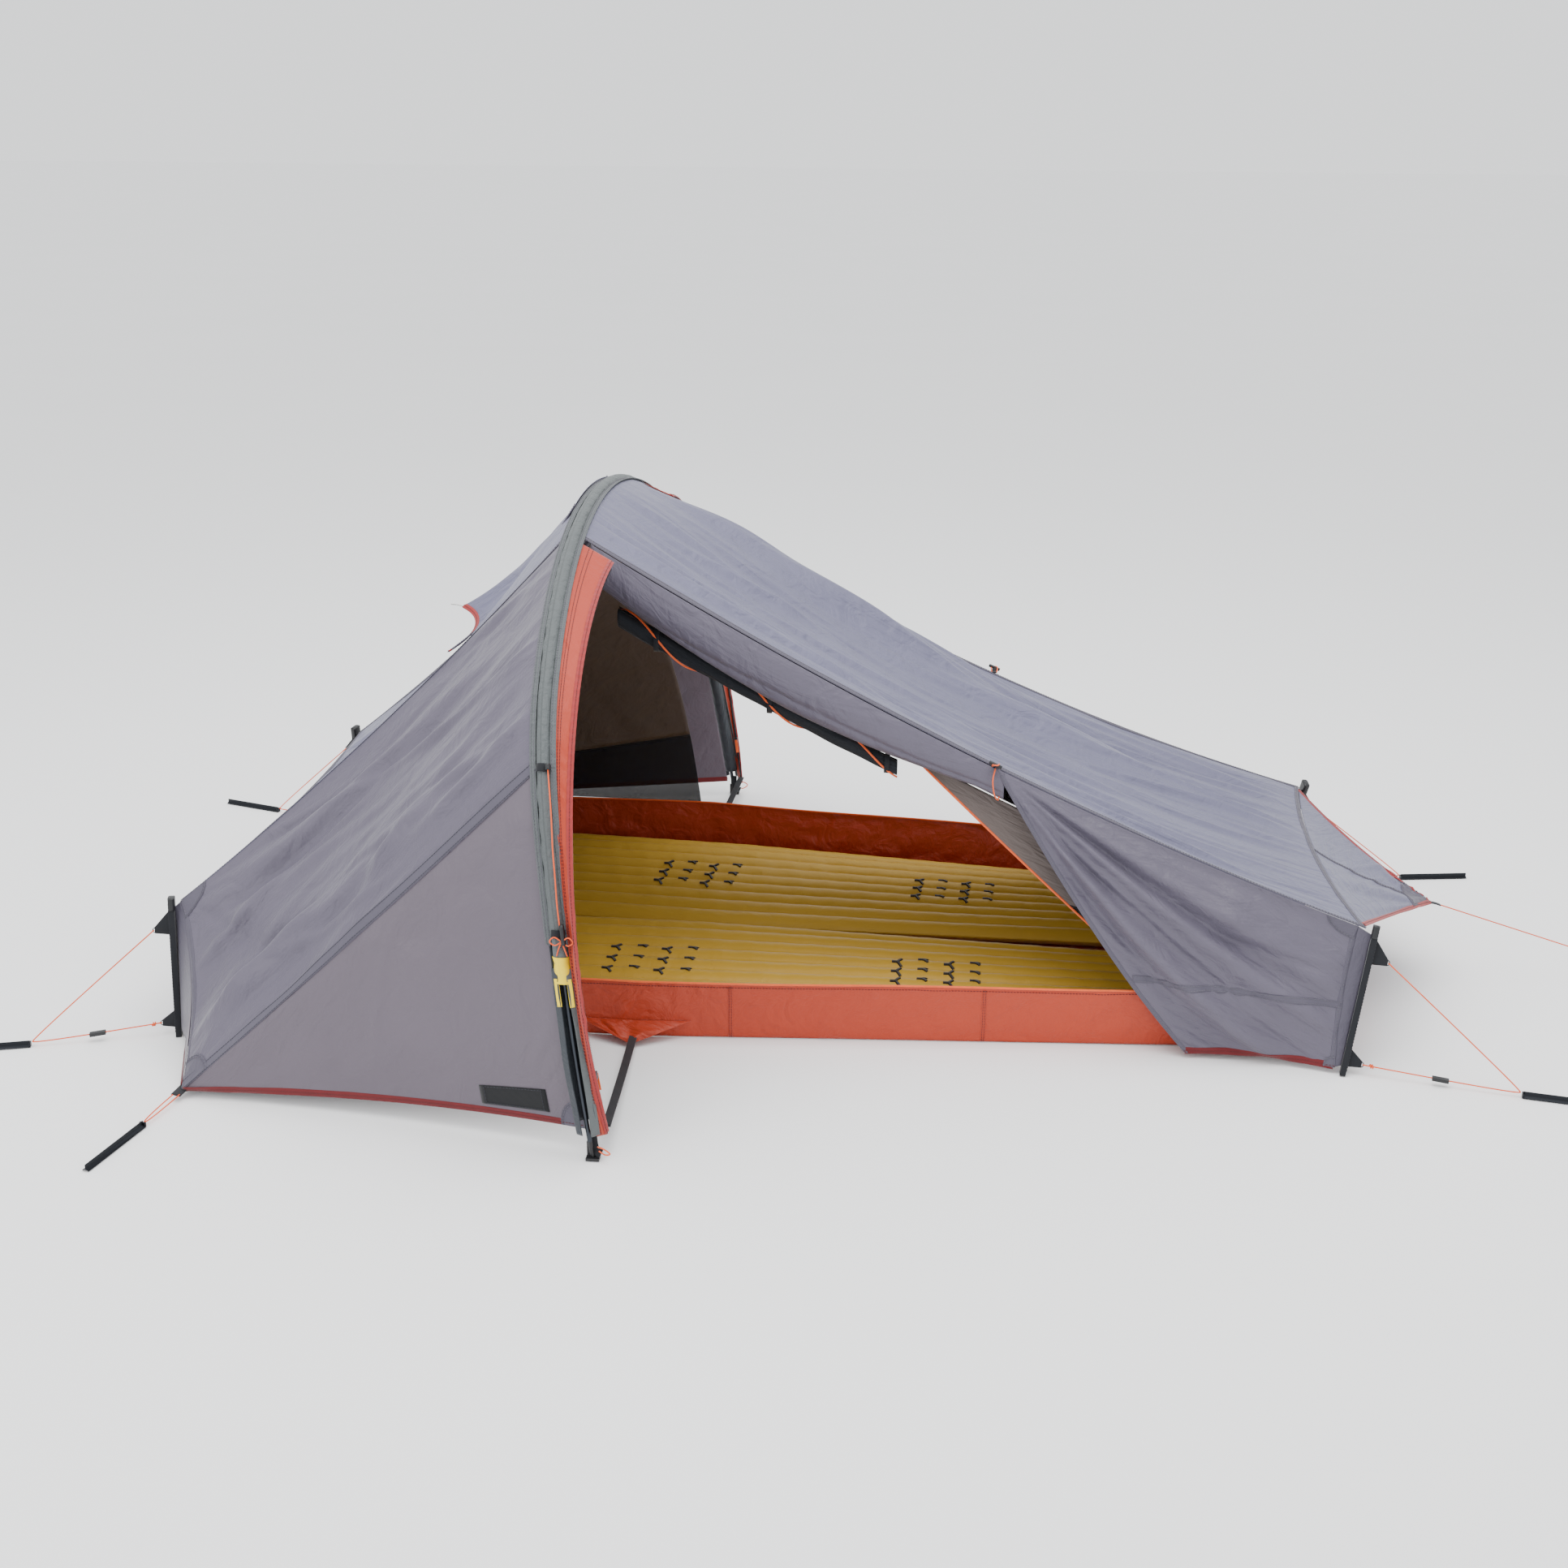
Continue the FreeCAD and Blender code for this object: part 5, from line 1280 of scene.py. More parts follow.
@dataclass
class DoorStrips:
    """The bright strips beside the hoop, with zip coils and scalloped bindings."""

    shop: Workshop
    top: Array = field(default_factory=lambda: mm(-63, -345, 908))
    middle: Array = field(default_factory=lambda: mm(-55, -775, 672))
    foot: Array = field(default_factory=lambda: mm(22, -932, 40))

    def arc(self) -> tuple[Array, Array, float]:
        """Centre, axis and opening angle of the free edge."""
        a, b = self.middle - self.top, self.foot - self.top
        cross = np.cross(a, b)
        centre = self.top + (np.cross(cross, a) * np.dot(b, b) + np.cross(b, cross) * np.dot(a, a)) / (
            2 * np.dot(cross, cross))
        p, q = self.top - centre, self.foot - centre
        axis = np.cross(p, q)
        angle = math.acos(float(np.dot(p, q) / np.linalg.norm(p) / np.linalg.norm(q)))
        return centre, axis / np.linalg.norm(axis), angle

    def edge(self, t: Array, out: Array = 0.0, aside: Array = 0.0) -> Array:
        """Points of the free edge, moved out from the arc's middle and along its axis, in millimetres."""
        centre, axis, angle = self.arc()
        arm = self.top - centre
        turn = np.asarray(t, float) * angle
        turned = arm * np.cos(turn)[..., None] + np.cross(axis, arm) * np.sin(turn)[..., None]
        unit = turned / np.linalg.norm(turned, axis=-1, keepdims=True)
        return centre + turned + unit * (np.asarray(out) * MM)[...,
                                                               None] + axis * (np.asarray(aside) * MM)[...,
                                                                                                       None]

    def build(self) -> None:
        """Builds both strips."""
        f, shop = self.shop.f, self.shop
        for side in Side:
            name = side.label
            leg = HOOP.edge(SEAM_TURN - 1.0, 1.6, REACH)

            def rim(t: Array) -> Array:
                """The free edge, just short of the zip."""
                return self.edge(t, 9.0)

            left, right = (line(a, b) for a, b in zip(leg(ENDS), rim(ENDS)))
            grid = side.place(coons(leg, rim, left, right, 260, 12))
            grid = relieved(grid, Creases(26, 0.0016, 0.008, 0.05, 75, 20, seed=95))
            panel = Panel(f"fly_door_strip_{name}_cloth", grid, f.strip, "strip_fabric",
                          ("pole_section_1",), replaces=(f"fly_door_strip_{name}",)).build()
            count = 420
            t = np.linspace(0.004, 0.996, count)
            scallop = np.abs(np.sin(t * 150 * math.pi / 2)) * 0.8
            points = side.place(self.edge(t, 10.2 - scallop))
            normal = panel.trace(t, np.full(count, 0.98), 0.0)[1]
            shop.strip(f"strip_binding_{name}", points, normal, 0.011, 0.0030, f.bright_binding,
                       "strip_fabric")
            for share in (0.30, 0.42):
                shop.sew("red", panel.trace(t, np.full(count, share), 0.0008)[0])
            shop.sew("red", points + normal * 0.0018)
            turns = np.linspace(0, 1.18 / 0.0030 * 2 * math.pi, 5200)
            share = np.linspace(0.015, 0.985, 5200)
            coil = side.place(self.edge(share, 1.7 * np.cos(turns), 1.7 * np.sin(turns)))
            made = shop.fix(loft(f"zip_coil_{name}", swept(coil, normal.mean(0), 0.0007, 0.0007, 4), f.zip),
                            "zip_metal")
            tape_t = np.linspace(0.012, 0.988, 200)
            tape = side.place(self.edge(tape_t, 4.6))
            tape_up = panel.trace(tape_t, np.full(200, 0.98), 0.0)[1]
            shop.strip(f"zip_tape_{name}", tape, tape_up, 0.0055, 0.0010, f.webbing, "zip_metal")
            if side is Side.NEAR:
                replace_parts(made, "door_zips")


# --- Sleeping compartment
TUB_HEAD_X, TUB_FOOT_X, TUB_HEIGHT, TUB_LEAN = -862.0, 1325.0, 120.0, 10.0


def tub_base(x: Array, side: int) -> Array:
    """Points where the floor meets a side wall, at x in millimetres."""
    share = np.maximum(0.0, x) / TUB_FOOT_X
    half, shift = 512.0 + (385.0 - 512.0) * share, 22.0 * (1 - share)
    return np.stack(np.broadcast_arrays(x, side * half + shift, np.full(np.shape(x), 1.5)), -1) * MM


def tub_rim(x: Array, side: int) -> Array:
    """Points on the tub's top edge, at x in millimetres."""
    return tub_base(x, side) + mm(0, side * TUB_LEAN, TUB_HEIGHT)


def inner_seam(t: Array) -> Array:
    """Near upper edge of the inner's roof, from under the hoop to the foot."""
    t = np.asarray(t, float)
    a, b = FOOT_SEAM(np.array([0.03, 0.965]))
    return line(a, b)(t) + mm(0, 24, -50) * (4 * t * (1 - t))[..., None] + mm(0, 34, -66)


def inner_head_seam(t: Array) -> Array:
    """Near upper edge of the inner's roof, from under the hoop to the head."""
    a, b = HEAD_SEAM(np.array([0.05, 0.95]))
    return line(a, b)(t) + mm(0, 40, -70)


@dataclass
class SleepingTent:
    """Bathtub floor, side and end walls, roof, rolled mesh doors and tie straps."""

    shop: Workshop

    def build(self) -> None:
        """Builds the inner from the ground up."""
        self.floor()
        self.tub()
        self.roof()
        self.walls()
        for side in Side:
            self.mesh_roll(side)
            self.tie_out(side)
        self.lines_inside()

    def add(self, name: str, grid: Array, finish: bpy.types.Material, slot: str, rests: tuple[str, ...],
            replaces: tuple[str, ...] = (), held: str = "stretched") -> Panel:
        """Builds one panel of the inner."""
        return Panel(name, grid, finish, slot, rests, held, replaces=replaces).build()

    def floor(self) -> None:
        """The floor, laid flat with faint wrinkles."""
        x = np.linspace(TUB_HEAD_X, TUB_FOOT_X, 130)
        v = np.linspace(0.004, 0.996, 70)[None, :, None]
        near, far = tub_base(x, -1)[:, None], tub_base(x, 1)[:, None]
        grid = near + (far - near) * v
        s, t = lengths_of(grid)
        ripple = Creases(30, 0.0006, 0.02, 0.5, 20, 60, seed=101)(s, t)
        grid[..., 2] = 0.0008 + np.clip(ripple, 0, 0.0006)
        self.add("inner_floor_cloth", grid, self.shop.f.tub, "tub_fabric", ("tub_tie_straps",),
                 ("inner_floor",), "laid")

    def tub(self) -> None:
        """The raised walls with piping on the rim and stitched seams."""
        f, shop = self.shop.f, self.shop
        replaced = ("inner_tub_walls",)
        for side, label in ((-1, "near"), (1, "far")):
            x = np.linspace(TUB_HEAD_X, TUB_FOOT_X, 300)
            low, high = tub_base(x, side)[:, None], tub_rim(x, side)[:, None]
            v = shares(24)[None, :, None]
            sag = 4 * MM * np.sin(np.linspace(0, 7 * math.pi, 300))[:, None, None] * v * mm(0, 0, 300)
            grid = relieved(low + (high - low) * v + sag,
                            Creases(60, 0.0030, 0.012, 0.07, 78, 22, seed=110 + side),
                            Creases(16, 0.0030, 0.012, 0.25, 8, 10, seed=113 + side))
            panel = self.add(f"tub_wall_{label}", grid, f.tub, "tub_fabric", ("tub_tie_straps",), replaced)
            replaced = ()
            t = shares(260)
            rim, _ = panel.trace(t, np.full(260, 0.995), 0.0)
            shop.tube(f"tub_piping_{label}", rim, 0.0042, f.piping, "tub_fabric")
            shop.sew("red", panel.trace(t, np.full(260, 0.93), 0.0010)[0])
            for k, share in enumerate((0.30, 0.475, 0.70)):
                v_line = np.linspace(0.02, 0.93, 16)
                shop.band(f"tub_seam_{label}_{k}", panel, np.full(16, share), v_line, 0.009, f.tub, "red",
                          slot="tub_fabric")
        for x, label, seed in ((TUB_HEAD_X, "head", 120), (TUB_FOOT_X, "foot", 121)):
            here = np.array([x])
            inset = mm(0, 2.5, 0)
            a, b = tub_base(here, -1)[0] + inset, tub_base(here, 1)[0] - inset
            c, d = tub_rim(here, -1)[0] + inset, tub_rim(here, 1)[0] - inset
            grid = coons(line(a, b), line(c, d), line(a, c), line(b, d), 90, 20)
            grid = relieved(grid, Creases(26, 0.0026, 0.012, 0.08, 80, 20, seed=seed))
            panel = self.add(f"tub_end_{label}", grid, f.tub, "tub_fabric", ("tub_tie_straps",))
            rim, _ = panel.trace(shares(90), np.full(90, 0.99), 0.0)
            shop.tube(f"tub_end_piping_{label}", rim, 0.0042, f.piping, "tub_fabric")

    def roof(self) -> None:
        """The two panels of the inner's roof."""
        seam_far = mirrored(inner_seam)
        head_far = mirrored(inner_head_seam)
        first, last = inner_seam(ENDS)
        span = sagged(first, first * MIRROR, mm(0, 0, 12))
        end = sagged(last, last * MIRROR, mm(-24, 0, -6))
        grid = relieved(coons(inner_seam, seam_far, span, end, 90, 80, bulge(mm(0, 0, -40))),
                        Creases(30, 0.0035, 0.016, 0.8, 0, 6, seed=131))
        self.add("inner_roof_foot_cloth", grid, self.shop.f.inner, "inner_fabric", ("pole_section_3",),
                 ("inner_roof",))
        first, last = inner_head_seam(ENDS)
        span = sagged(first, first * MIRROR, mm(0, 0, 12))
        end = sagged(last, last * MIRROR, mm(14, 0, -6))
        grid = relieved(coons(inner_head_seam, head_far, span, end, 80, 80, bulge(mm(0, 0, -54))),
                        Creases(24, 0.0035, 0.016, 0.6, 0, 7, seed=132))
        self.add("inner_roof_head_cloth", grid, self.shop.f.inner, "inner_fabric", ("pole_section_3",))

    def split(self, name: str, grid: Array, share: float, slot_rests: tuple[str, ...],
              replaces: tuple[str, ...]) -> None:
        """A wall whose lower share is netting and whose upper part is cloth, with a dark seam."""
        f = self.shop.f
        rows = grid.shape[1] - 1
        cut = int(rows * share)
        self.add(name + "_net", grid[:, :cut + 1], f.mesh, "inner_mesh", slot_rests, replaces)
        self.add(name + "_cloth", grid[:, cut:], f.inner, "inner_fabric", slot_rests)
        self.shop.tube(name + "_seam", grid[:, cut], 0.0036, f.webbing, "webbing")

    def walls(self) -> None:
        """Side walls behind and in front of the doors, and the low ends."""
        up, under = mm(0, 0, 1.6), mm(0, -1.5, -2.5)
        replaced: tuple[str, ...] = ("inner_side_walls",)
        for side in Side:
            sign, turn = side.value, side.place
            rim_of = lambda a, b: line(tub_rim(np.array([a]), sign)[0] + up,
                                       tub_rim(np.array([b]), sign)[0] + up)
            rim = rim_of(-140.0 if side is Side.NEAR else -30.0, TUB_HEAD_X + 10)
            seam = lambda t, turn=turn: turn(inner_head_seam(0.99 * np.asarray(t, float)) + under)
            front = sagged(rim(ENDS)[0], seam(ENDS)[0], mm(10, sign * 90, 40))
            grid = coons(rim, seam, front, line(rim(ENDS)[1], seam(ENDS)[1]), 90, 60)
            grid = relieved(grid, Creases(20, 0.0035, 0.016, 0.4, 30, 20, seed=140 + sign))
            self.split(f"inner_head_wall_{side.label}", grid, 0.20, ("pole_section_2",), replaced)
            replaced = ()
            rim2 = rim_of(1010.0, TUB_FOOT_X - 10)
            seam2 = lambda t, turn=turn: turn(inner_seam(0.42 + (0.99 - 0.42) * np.asarray(t, float))
                                              + under)
            curve = sagged(rim2(ENDS)[0], seam2(ENDS)[0], mm(40, 0, -44))
            grid = coons(rim2, seam2, curve, line(rim2(ENDS)[1], seam2(ENDS)[1]), 70, 60)
            grid = relieved(grid, Creases(16, 0.0030, 0.014, 0.3, 40, 20, seed=150 + sign))
            self.split(f"inner_foot_wall_{side.label}", grid, 0.45, ("strut_covers",), ())
            self.shop.tube(f"inner_door_edge_{side.label}", grid[0], 0.0046, self.shop.f.piping,
                           "pull_cord")
        replaced = ("inner_ends",)
        for x, curve_of, sag in ((TUB_FOOT_X - 5, inner_seam, mm(-24, 0, -6)),
                                 (TUB_HEAD_X + 5, inner_head_seam, mm(14, 0, -6))):
            last = curve_of(np.array([1.0]))[0]
            top = moved(part_of(sagged(last, last * MIRROR, sag), 0.01, 0.99), mm(0, 0, -2.5))
            near = tub_rim(np.array([x]), -1)[0] + up + mm(0, 3, 0)
            far = tub_rim(np.array([x]), 1)[0] + up - mm(0, 3, 0)
            corners = top(ENDS)
            grid = coons(line(near, far), top, line(near, corners[0]), line(far, corners[1]), 70, 24)
            label = "foot" if x > 0 else "head"
            self.add(f"inner_end_{label}", grid, self.shop.f.mesh, "inner_mesh", ("strut_covers",),
                     replaced)
            replaced = ()

    def mesh_roll(self, side: Side) -> None:
        """A rolled-up inner door with its piping winding along it."""
        f, shop, name = self.shop.f, self.shop, side.label
        t = shares(110)
        centre = inner_seam(0.01 + 0.39 * t) + mm(0, 10, -62) + mm(0, 0, 14) * t[:, None]
        wide, high = (34 - 8 * t) * MM / 2, (44 - 10 * t) * MM / 2
        a = np.linspace(0, 6.4 * math.pi, 130)
        share = 0.3 + 0.66 * a / a[-1]
        wobble = 0.05 * np.sin(3 * a[None] + 9 * t[:, None]) + 0.04 * np.sin(t[:, None] * 37 + a[None])
        reach = share[None] * (1 + wobble)
        grid = centre[:, None] + np.stack([np.zeros(reach.shape), np.cos(a)[None] * wide[:, None] * reach,
                                           np.sin(a)[None] * high[:, None] * reach], -1)
        self.add(f"inner_mesh_roll_{name}_net", side.place(grid), f.mesh_roll, "inner_mesh",
                 ("pole_section_3",), (f"inner_mesh_roll_{name}",), "gathered")
        wind = t * 5.2 * math.pi + 0.6
        path = centre + np.stack([0 * t, np.cos(wind) * (wide + 0.0012), np.sin(wind) * (high + 0.0012)],
                                 -1)
        shop.tube(f"roll_piping_{name}", side.place(path), 0.0040, f.piping, "pull_cord")
        for k, share_ in enumerate((0.14, 0.55, 0.97)):
            i = int(share_ * 109)
            around = np.linspace(0, 2 * math.pi * 0.94, 40)
            ring = centre[i] + np.stack([0 * around + 0.001 * np.sin(around),
                                         np.cos(around) * (wide[i] + 0.0024),
                                         np.sin(around) * (high[i] + 0.0024)], -1)
            ring = side.place(ring)
            shop.strip(f"roll_tie_{name}_{k}", ring, ring - side.place(centre[i]), 0.010, 0.0014, f.webbing,
                       "webbing")

    def tie_out(self, side: Side) -> None:
        """The gusset and strap that pull the tub's side out to the hoop's foot."""
        f, shop, sign = self.shop.f, self.shop, side.value
        a = tub_base(np.array([-10.0]), sign)[0] + mm(0, sign * 9, 14)
        b = side.place(HOOP.at(np.array([1.9]))[0] + mm(28, 18, 0))
        dip = [a, a * 0.66 + b * 0.34 + mm(0, 0, -3), a * 0.33 + b * 0.67 + mm(0, 0, -3), b]
        path = smooth_path(dip, 40)
        made = shop.strip(f"tie_strap_{side.label}", path, np.array([0.0, 0.2, 1.0]), 0.016, 0.0018,
                          f.webbing,
                          "webbing")
        if side is Side.NEAR:
            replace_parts(made, "tub_tie_straps")
        x = np.linspace(-125, 100, 50)
        root = tub_rim(x, sign) * 0.30 + tub_base(x, sign) * 0.70 + mm(0, sign * 3.0, 0)
        tip = a + mm(0, sign * 46, -6)
        v = np.linspace(0, 0.96, 24)[None, :, None]
        grid = root[:, None] * (1 - v) + tip * v
        grid = relieved(grid, Fan(0.5, 1.0, 11.0, 0.0022, 0.06, seed=170))
        self.add(f"tie_gusset_{side.label}", grid, f.tub, "tub_fabric", ("tub_tie_straps",))

    def lines_inside(self) -> None:
        """Hanging straps, elastic ties and small loops under the crown."""
        f, shop = self.shop.f, self.shop
        for side in Side:
            top = side.place(HOOP.at(np.array([60.0]), -16.0, 6.0))[0]
            low = side.place(inner_head_seam(np.array([0.02])))[0]
            mid = (top + low) / 2 + mm(0, 0, -6)
            shop.strip(f"inner_hanger_{side.label}", smooth_path([top, mid, low], 24),
                       side.place(mm(1, -1, 0.2)) * 1000, 0.012, 0.0016, f.webbing, "webbing")
            bungee = [side.place(HOOP.at(np.array([74.0]), -15.0, 8.0))[0],
                      side.place(inner_seam(np.array([0.0])))[0] + mm(0, 0, 30),
                      side.place(inner_seam(np.array([0.01])))[0]]
            shop.tube(f"inner_bungee_{side.label}", smooth_path(bungee, 24), 0.0035, f.black_cord,
                      "elastic")


# --- Mats
@dataclass
class AirMat:
    """A tapered air mat with lengthwise chambers that converge towards the foot."""

    shop: Workshop
    name: str
    head: Array
    heading: float
    seed: int
    length: float = 1800.0
    width: float = 490.0
    foot_width: float = 330.0
    taper_start: float = 0.35
    thick: float = 50.0
    chambers: int = 9

    def half(self, t: Array) -> Array:
        """Half the width at shares of the length, in millimetres."""
        taper = np.maximum(0.0, (t - self.taper_start) / (1 - self.taper_start))
        head = np.sqrt(np.clip(1 - ((0.06 - t) / 0.06) ** 2, 0, 1)) * 0.22 + 0.78
        foot = np.sqrt(np.clip(1 - ((t - 0.95) / 0.05) ** 2, 0, 1)) * 0.22 + 0.78
        corner = np.where(t < 0.06, head, np.where(t > 0.95, foot, 1.0))
        return corner * (self.width + (self.foot_width - self.width) * taper) / 2 * 0.985

    def height(self, t: Array, v: Array) -> Array:
        """Half the thickness in millimetres at shares of length t and of width v, -1 to 1."""
        flat = np.clip(1 - np.abs(v) ** 7, 0, 1) ** 0.5
        run = np.minimum(t, 1 - t) * self.length
        end = np.clip(1 - np.exp(-run / 16.0), 0, 1)
        fade = np.clip((run - 26) / 40, 0, 1)
        rng = np.random.default_rng(self.seed)
        drift = 0.012 * np.sin(t * 9 + rng.uniform(0, 6))
        seam = np.abs(np.sin((v + drift + 1) / 2 * self.chambers * math.pi))
        valley = 1 - 0.62 * fade * (1 - seam ** 0.7)
        pinch = 1 + 0.02 * np.sin(t * 160 + v * 7) * fade
        return self.thick / 2 * flat * end * valley * pinch

    def place(self, points: Array) -> Array:
        """Points in the mat's own millimetres, in the frame."""
        a = math.radians(self.heading)
        turned = np.stack([points[..., 0] * math.cos(a) - points[..., 1] * math.sin(a),
                           points[..., 0] * math.sin(a) + points[..., 1] * math.cos(a), points[..., 2]], -1)
        return (turned + self.head) * MM

    def surface(self, t: Array, v: Array, lift: float = 0.0) -> Array:
        """Points on the upper side."""
        z = 1.5 + 0.5 + self.thick / 2 + self.height(t, v) + lift
        return self.place(np.stack(np.broadcast_arrays(t * self.length, v * self.half(t), z), -1))

    def build(self) -> None:
        """Builds the mat with its printed marks and valve."""
        f, shop = self.shop.f, self.shop
        run = np.concatenate([np.linspace(0, 0.05, 26)[:-1], np.linspace(0.05, 0.95, 130)[:-1],
                              np.linspace(0.95, 1.0, 26)])[:, None]
        across = np.sin(np.linspace(-math.pi / 2, math.pi / 2, 151))[None]
        top = self.height(run, across)
        centre = 2.0 + self.thick / 2
        upper = np.stack(np.broadcast_arrays(run * self.length, across * self.half(run), centre + top), -1)
        lower = np.stack(np.broadcast_arrays(run * self.length, across * self.half(run),
                                             centre - top * 0.97), -1)
        rings = self.place(np.concatenate([upper, lower[:, -2:0:-1]], 1))
        body = shop.fix(loft(self.name + "_body", rings, f.mat), "mat_fabric")
        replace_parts(body, self.name)
        self.marks()
        self.valve()

    def marks(self) -> None:
        """Two clusters of small printed chevrons on the upper side."""
        rows = []
        for start in (0.27, 0.60):
            for k in range(4):
                for lane in (-2, 0, 2):
                    rows.append((start + 0.030 * k, lane / self.chambers + (0.03 if k % 2 else -0.03)))
        for t0, v0 in rows:
            half = float(self.half(np.array([t0]))[0])
            for forward, aside in ((8.0, 9.0), (8.0, -9.0), (-10.0, 0.0)):
                share = shares(9)
                points = self.surface(t0 + forward / self.length * share, v0 + aside / half * share, 1.2)
                self.shop.sew(f"print_{self.name}", points)

    def valve(self) -> None:
        """A low flat valve near the head, with a ridged cap."""
        f, shop = self.shop.f, self.shop
        a = 2 * math.pi * np.arange(40) / 40
        ridge = 15.0 + 0.5 * np.sign(np.sin(a * 10))
        levels = ((52.5, 16.4), (54.0, 16.8), (55.0, 16.2), (55.4, 14.6), (58.6, 14.6), (59.2, 13.6),
                  (59.3, 2.0))
        rings = []
        for k, (z, radius) in enumerate(levels):
            r = np.minimum(ridge, radius) if k in (4, 5) else np.full(40, radius)
            rings.append(self.place(np.stack([60 + r * np.cos(a), r * np.sin(a), np.full(40, z)], -1)))
        made = shop.fix(loft(self.name + "_valve", np.array(rings), f.valve), "valve_plastic")
        if self.name == "mat_near":
            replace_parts(made, "mat_valves")


# --- Poles, struts, guys and fittings
@dataclass
class Hardware:
    """Pole, struts, guys, pegs, adjusters, toggles and zip sliders."""

    shop: Workshop
    pegs: dict[str, Array] = field(default_factory=lambda: {
        "head": mm(-1165, -672, 0), "foot": mm(1668, -545, 0), "corner": mm(-817, -945, 0),
        "beak": mm(2126, 0, 0)})

    def build(self) -> None:
        """Builds everything hard and every cord."""
        self.finish_nodes()
        self.refined()
        for side in Side:
            for end, (base, top) in STRUTS.items():
                self.end_guy(side, end, base, top)
            self.corner_guy(side)
            self.stowed_guy(side)
            self.strut_trim(side)
            self.toggle_loop(side)
        self.beak_guy()

    def finish_nodes(self) -> None:
        """Gives every CAD node that stays in view its finish."""
        f = self.shop.f
        finishes = {"pole_section_": f.pole, "pole_ferrules": f.pole, "pole_shock_cord": f.elastic,
                    "pole_tips": f.plastic, "strut_rods": f.plastic, "pole_foot": f.plastic,
                    "adjuster": f.plastic, "door_toggle": f.plastic, "zip": f.zip, "pegs": f.peg,
                    "strut_covers": f.webbing, "sleeve": f.tape, "tub": f.tub, "inner": f.inner,
                    "mat": f.mat,
                    "fly": f.side, "guy": f.guy, "door_zips": f.zip}
        for name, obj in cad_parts.items():
            for start, finish in finishes.items():
                if name.startswith(start):
                    obj.data.materials.clear()
                    obj.data.materials.append(finish)

    def refined(self) -> None:
        """Softened copies of the hard pieces."""
        f, shop = self.shop.f, self.shop
        shop.refine("strut_covers", f.webbing, "webbing", 0.0012)
        shop.refine("pegs", f.peg, "peg_alloy", 0.0003)
        shop.refine("pole_foot_ladders", f.plastic, "foot_plastic", 0.0008)
        for side in Side:
            for end in ("head", "foot"):
                name = f"adjuster_{end}_{side.label}"
                shop.refine(name, f.plastic, "strut_plastic", 0.0012, name)
            for name, finish, slot in (("zip_slider", f.zip, "zip_metal"),
                                       ("zip_pull", f.piping, "pull_cord"),
                                       ("door_toggle", f.plastic, "strut_plastic")):
                node = f"{name}_{side.label}"
                shop.refine(node, finish, slot, 0.0006, node)

    def heading(self, base: Array, top: Array, peg: Array) -> Array:
        """The direction square to a strut that points at its peg."""
        axis = unit_of(top - base)
        return unit_of((peg - base) - axis * np.dot(peg - base, axis))

    def cord(self, name: str, points: Sequence[Array], far_end: str, lay: str, node: str,
             length: float, pieces: tuple[str, ...] = ()) -> bpy.types.Object:
        """A free cord as a curve along its route."""
        data = bpy.data.curves.new(name, "CURVE")
        data.dimensions = "3D"
        data.bevel_depth = 0.00125
        data.bevel_resolution = 3
        data.use_fill_caps = True
        spline = data.splines.new("NURBS")
        spline.points.add(len(points) - 1)
        for point, here in zip(spline.points, points):
            point.co = (*(float(x) for x in here), 1.0)
        spline.order_u = 3
        spline.use_endpoint_u = True
        spline.resolution_u = 12
        data.materials.append(self.shop.f.guy)
        obj = linked(name, data)
        self.shop.fix(obj, "guy_cord")
        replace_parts(obj, node)
        return obj

    def route_length(self, points: Sequence[Array]) -> float:
        """Length of the rounded route: a curve of second order through the middles of its runs."""
        pts = [np.asarray(p, float) for p in points]
        marks = [pts[0]] + [(a + b) / 2 for a, b in zip(pts[1:-2], pts[2:-1])] + [pts[-1]]
        total = 0.0
        for k in range(1, len(pts) - 1):
            t = shares(60)[:, None]
            p0, p2 = marks[k - 1], marks[k]
            bend = (1 - t) ** 2 * p0 + 2 * t * (1 - t) * pts[k] + t ** 2 * p2
            total += float(np.linalg.norm(np.diff(bend, axis=0), axis=1).sum())
        return total

    def end_guy(self, side: Side, end: str, base: Array, top: Array) -> None:
        """A guy from the strut's upper tab round its peg and back to the lower tab."""
        peg = self.pegs[end]
        axis = unit_of(top - base)
        out, length = self.heading(base, top, peg), float(np.linalg.norm(top - base))
        start = base + axis * (length - 52 * MM) + out * 35.5 * MM
        stop = base + axis * 26 * MM + out * 31.5 * MM
        turn = peg + unit_of((stop - peg) * ON_GROUND) * 5.5 * MM
        route = [side.place(p) for p in (start, turn + mm(0, 0, 15), turn + mm(0, 0, 4), stop)]
        name = f"guy_{end}_{side.label}"
        self.cord(name + "_cord", route, "object", "taut", name, self.route_length(route))
        knot = side.place(stop * 0.94 + (turn + mm(0, 0, 4)) * 0.06)
        a = np.linspace(0, 4 * math.pi, 60)
        ahead = unit_of(route[3] - route[2])
        one = unit_of(np.cross(ahead, UP))
        two = np.cross(ahead, one)
        loops = knot + np.outer(np.cos(a) * 0.0034, one) + np.outer(np.sin(a) * 0.0034, two) + np.outer(
            (a / a[-1] - 0.5) * 0.007, ahead)
        self.shop.tube(f"{name}_knot", loops, 0.0024, self.shop.f.guy)
        for k, at in enumerate((start, stop)):
            ring_a = np.linspace(0, 2 * math.pi, 30)
            centre = side.place(at - out * 3 * MM)
            ring = centre + np.outer(np.cos(ring_a) * 0.005, side.place(out)) + np.outer(
                np.sin(ring_a) * 0.005, side.place(axis))
            self.shop.tube(f"{name}_ring_{k}", ring, 0.0018, self.shop.f.plastic, "strut_plastic")

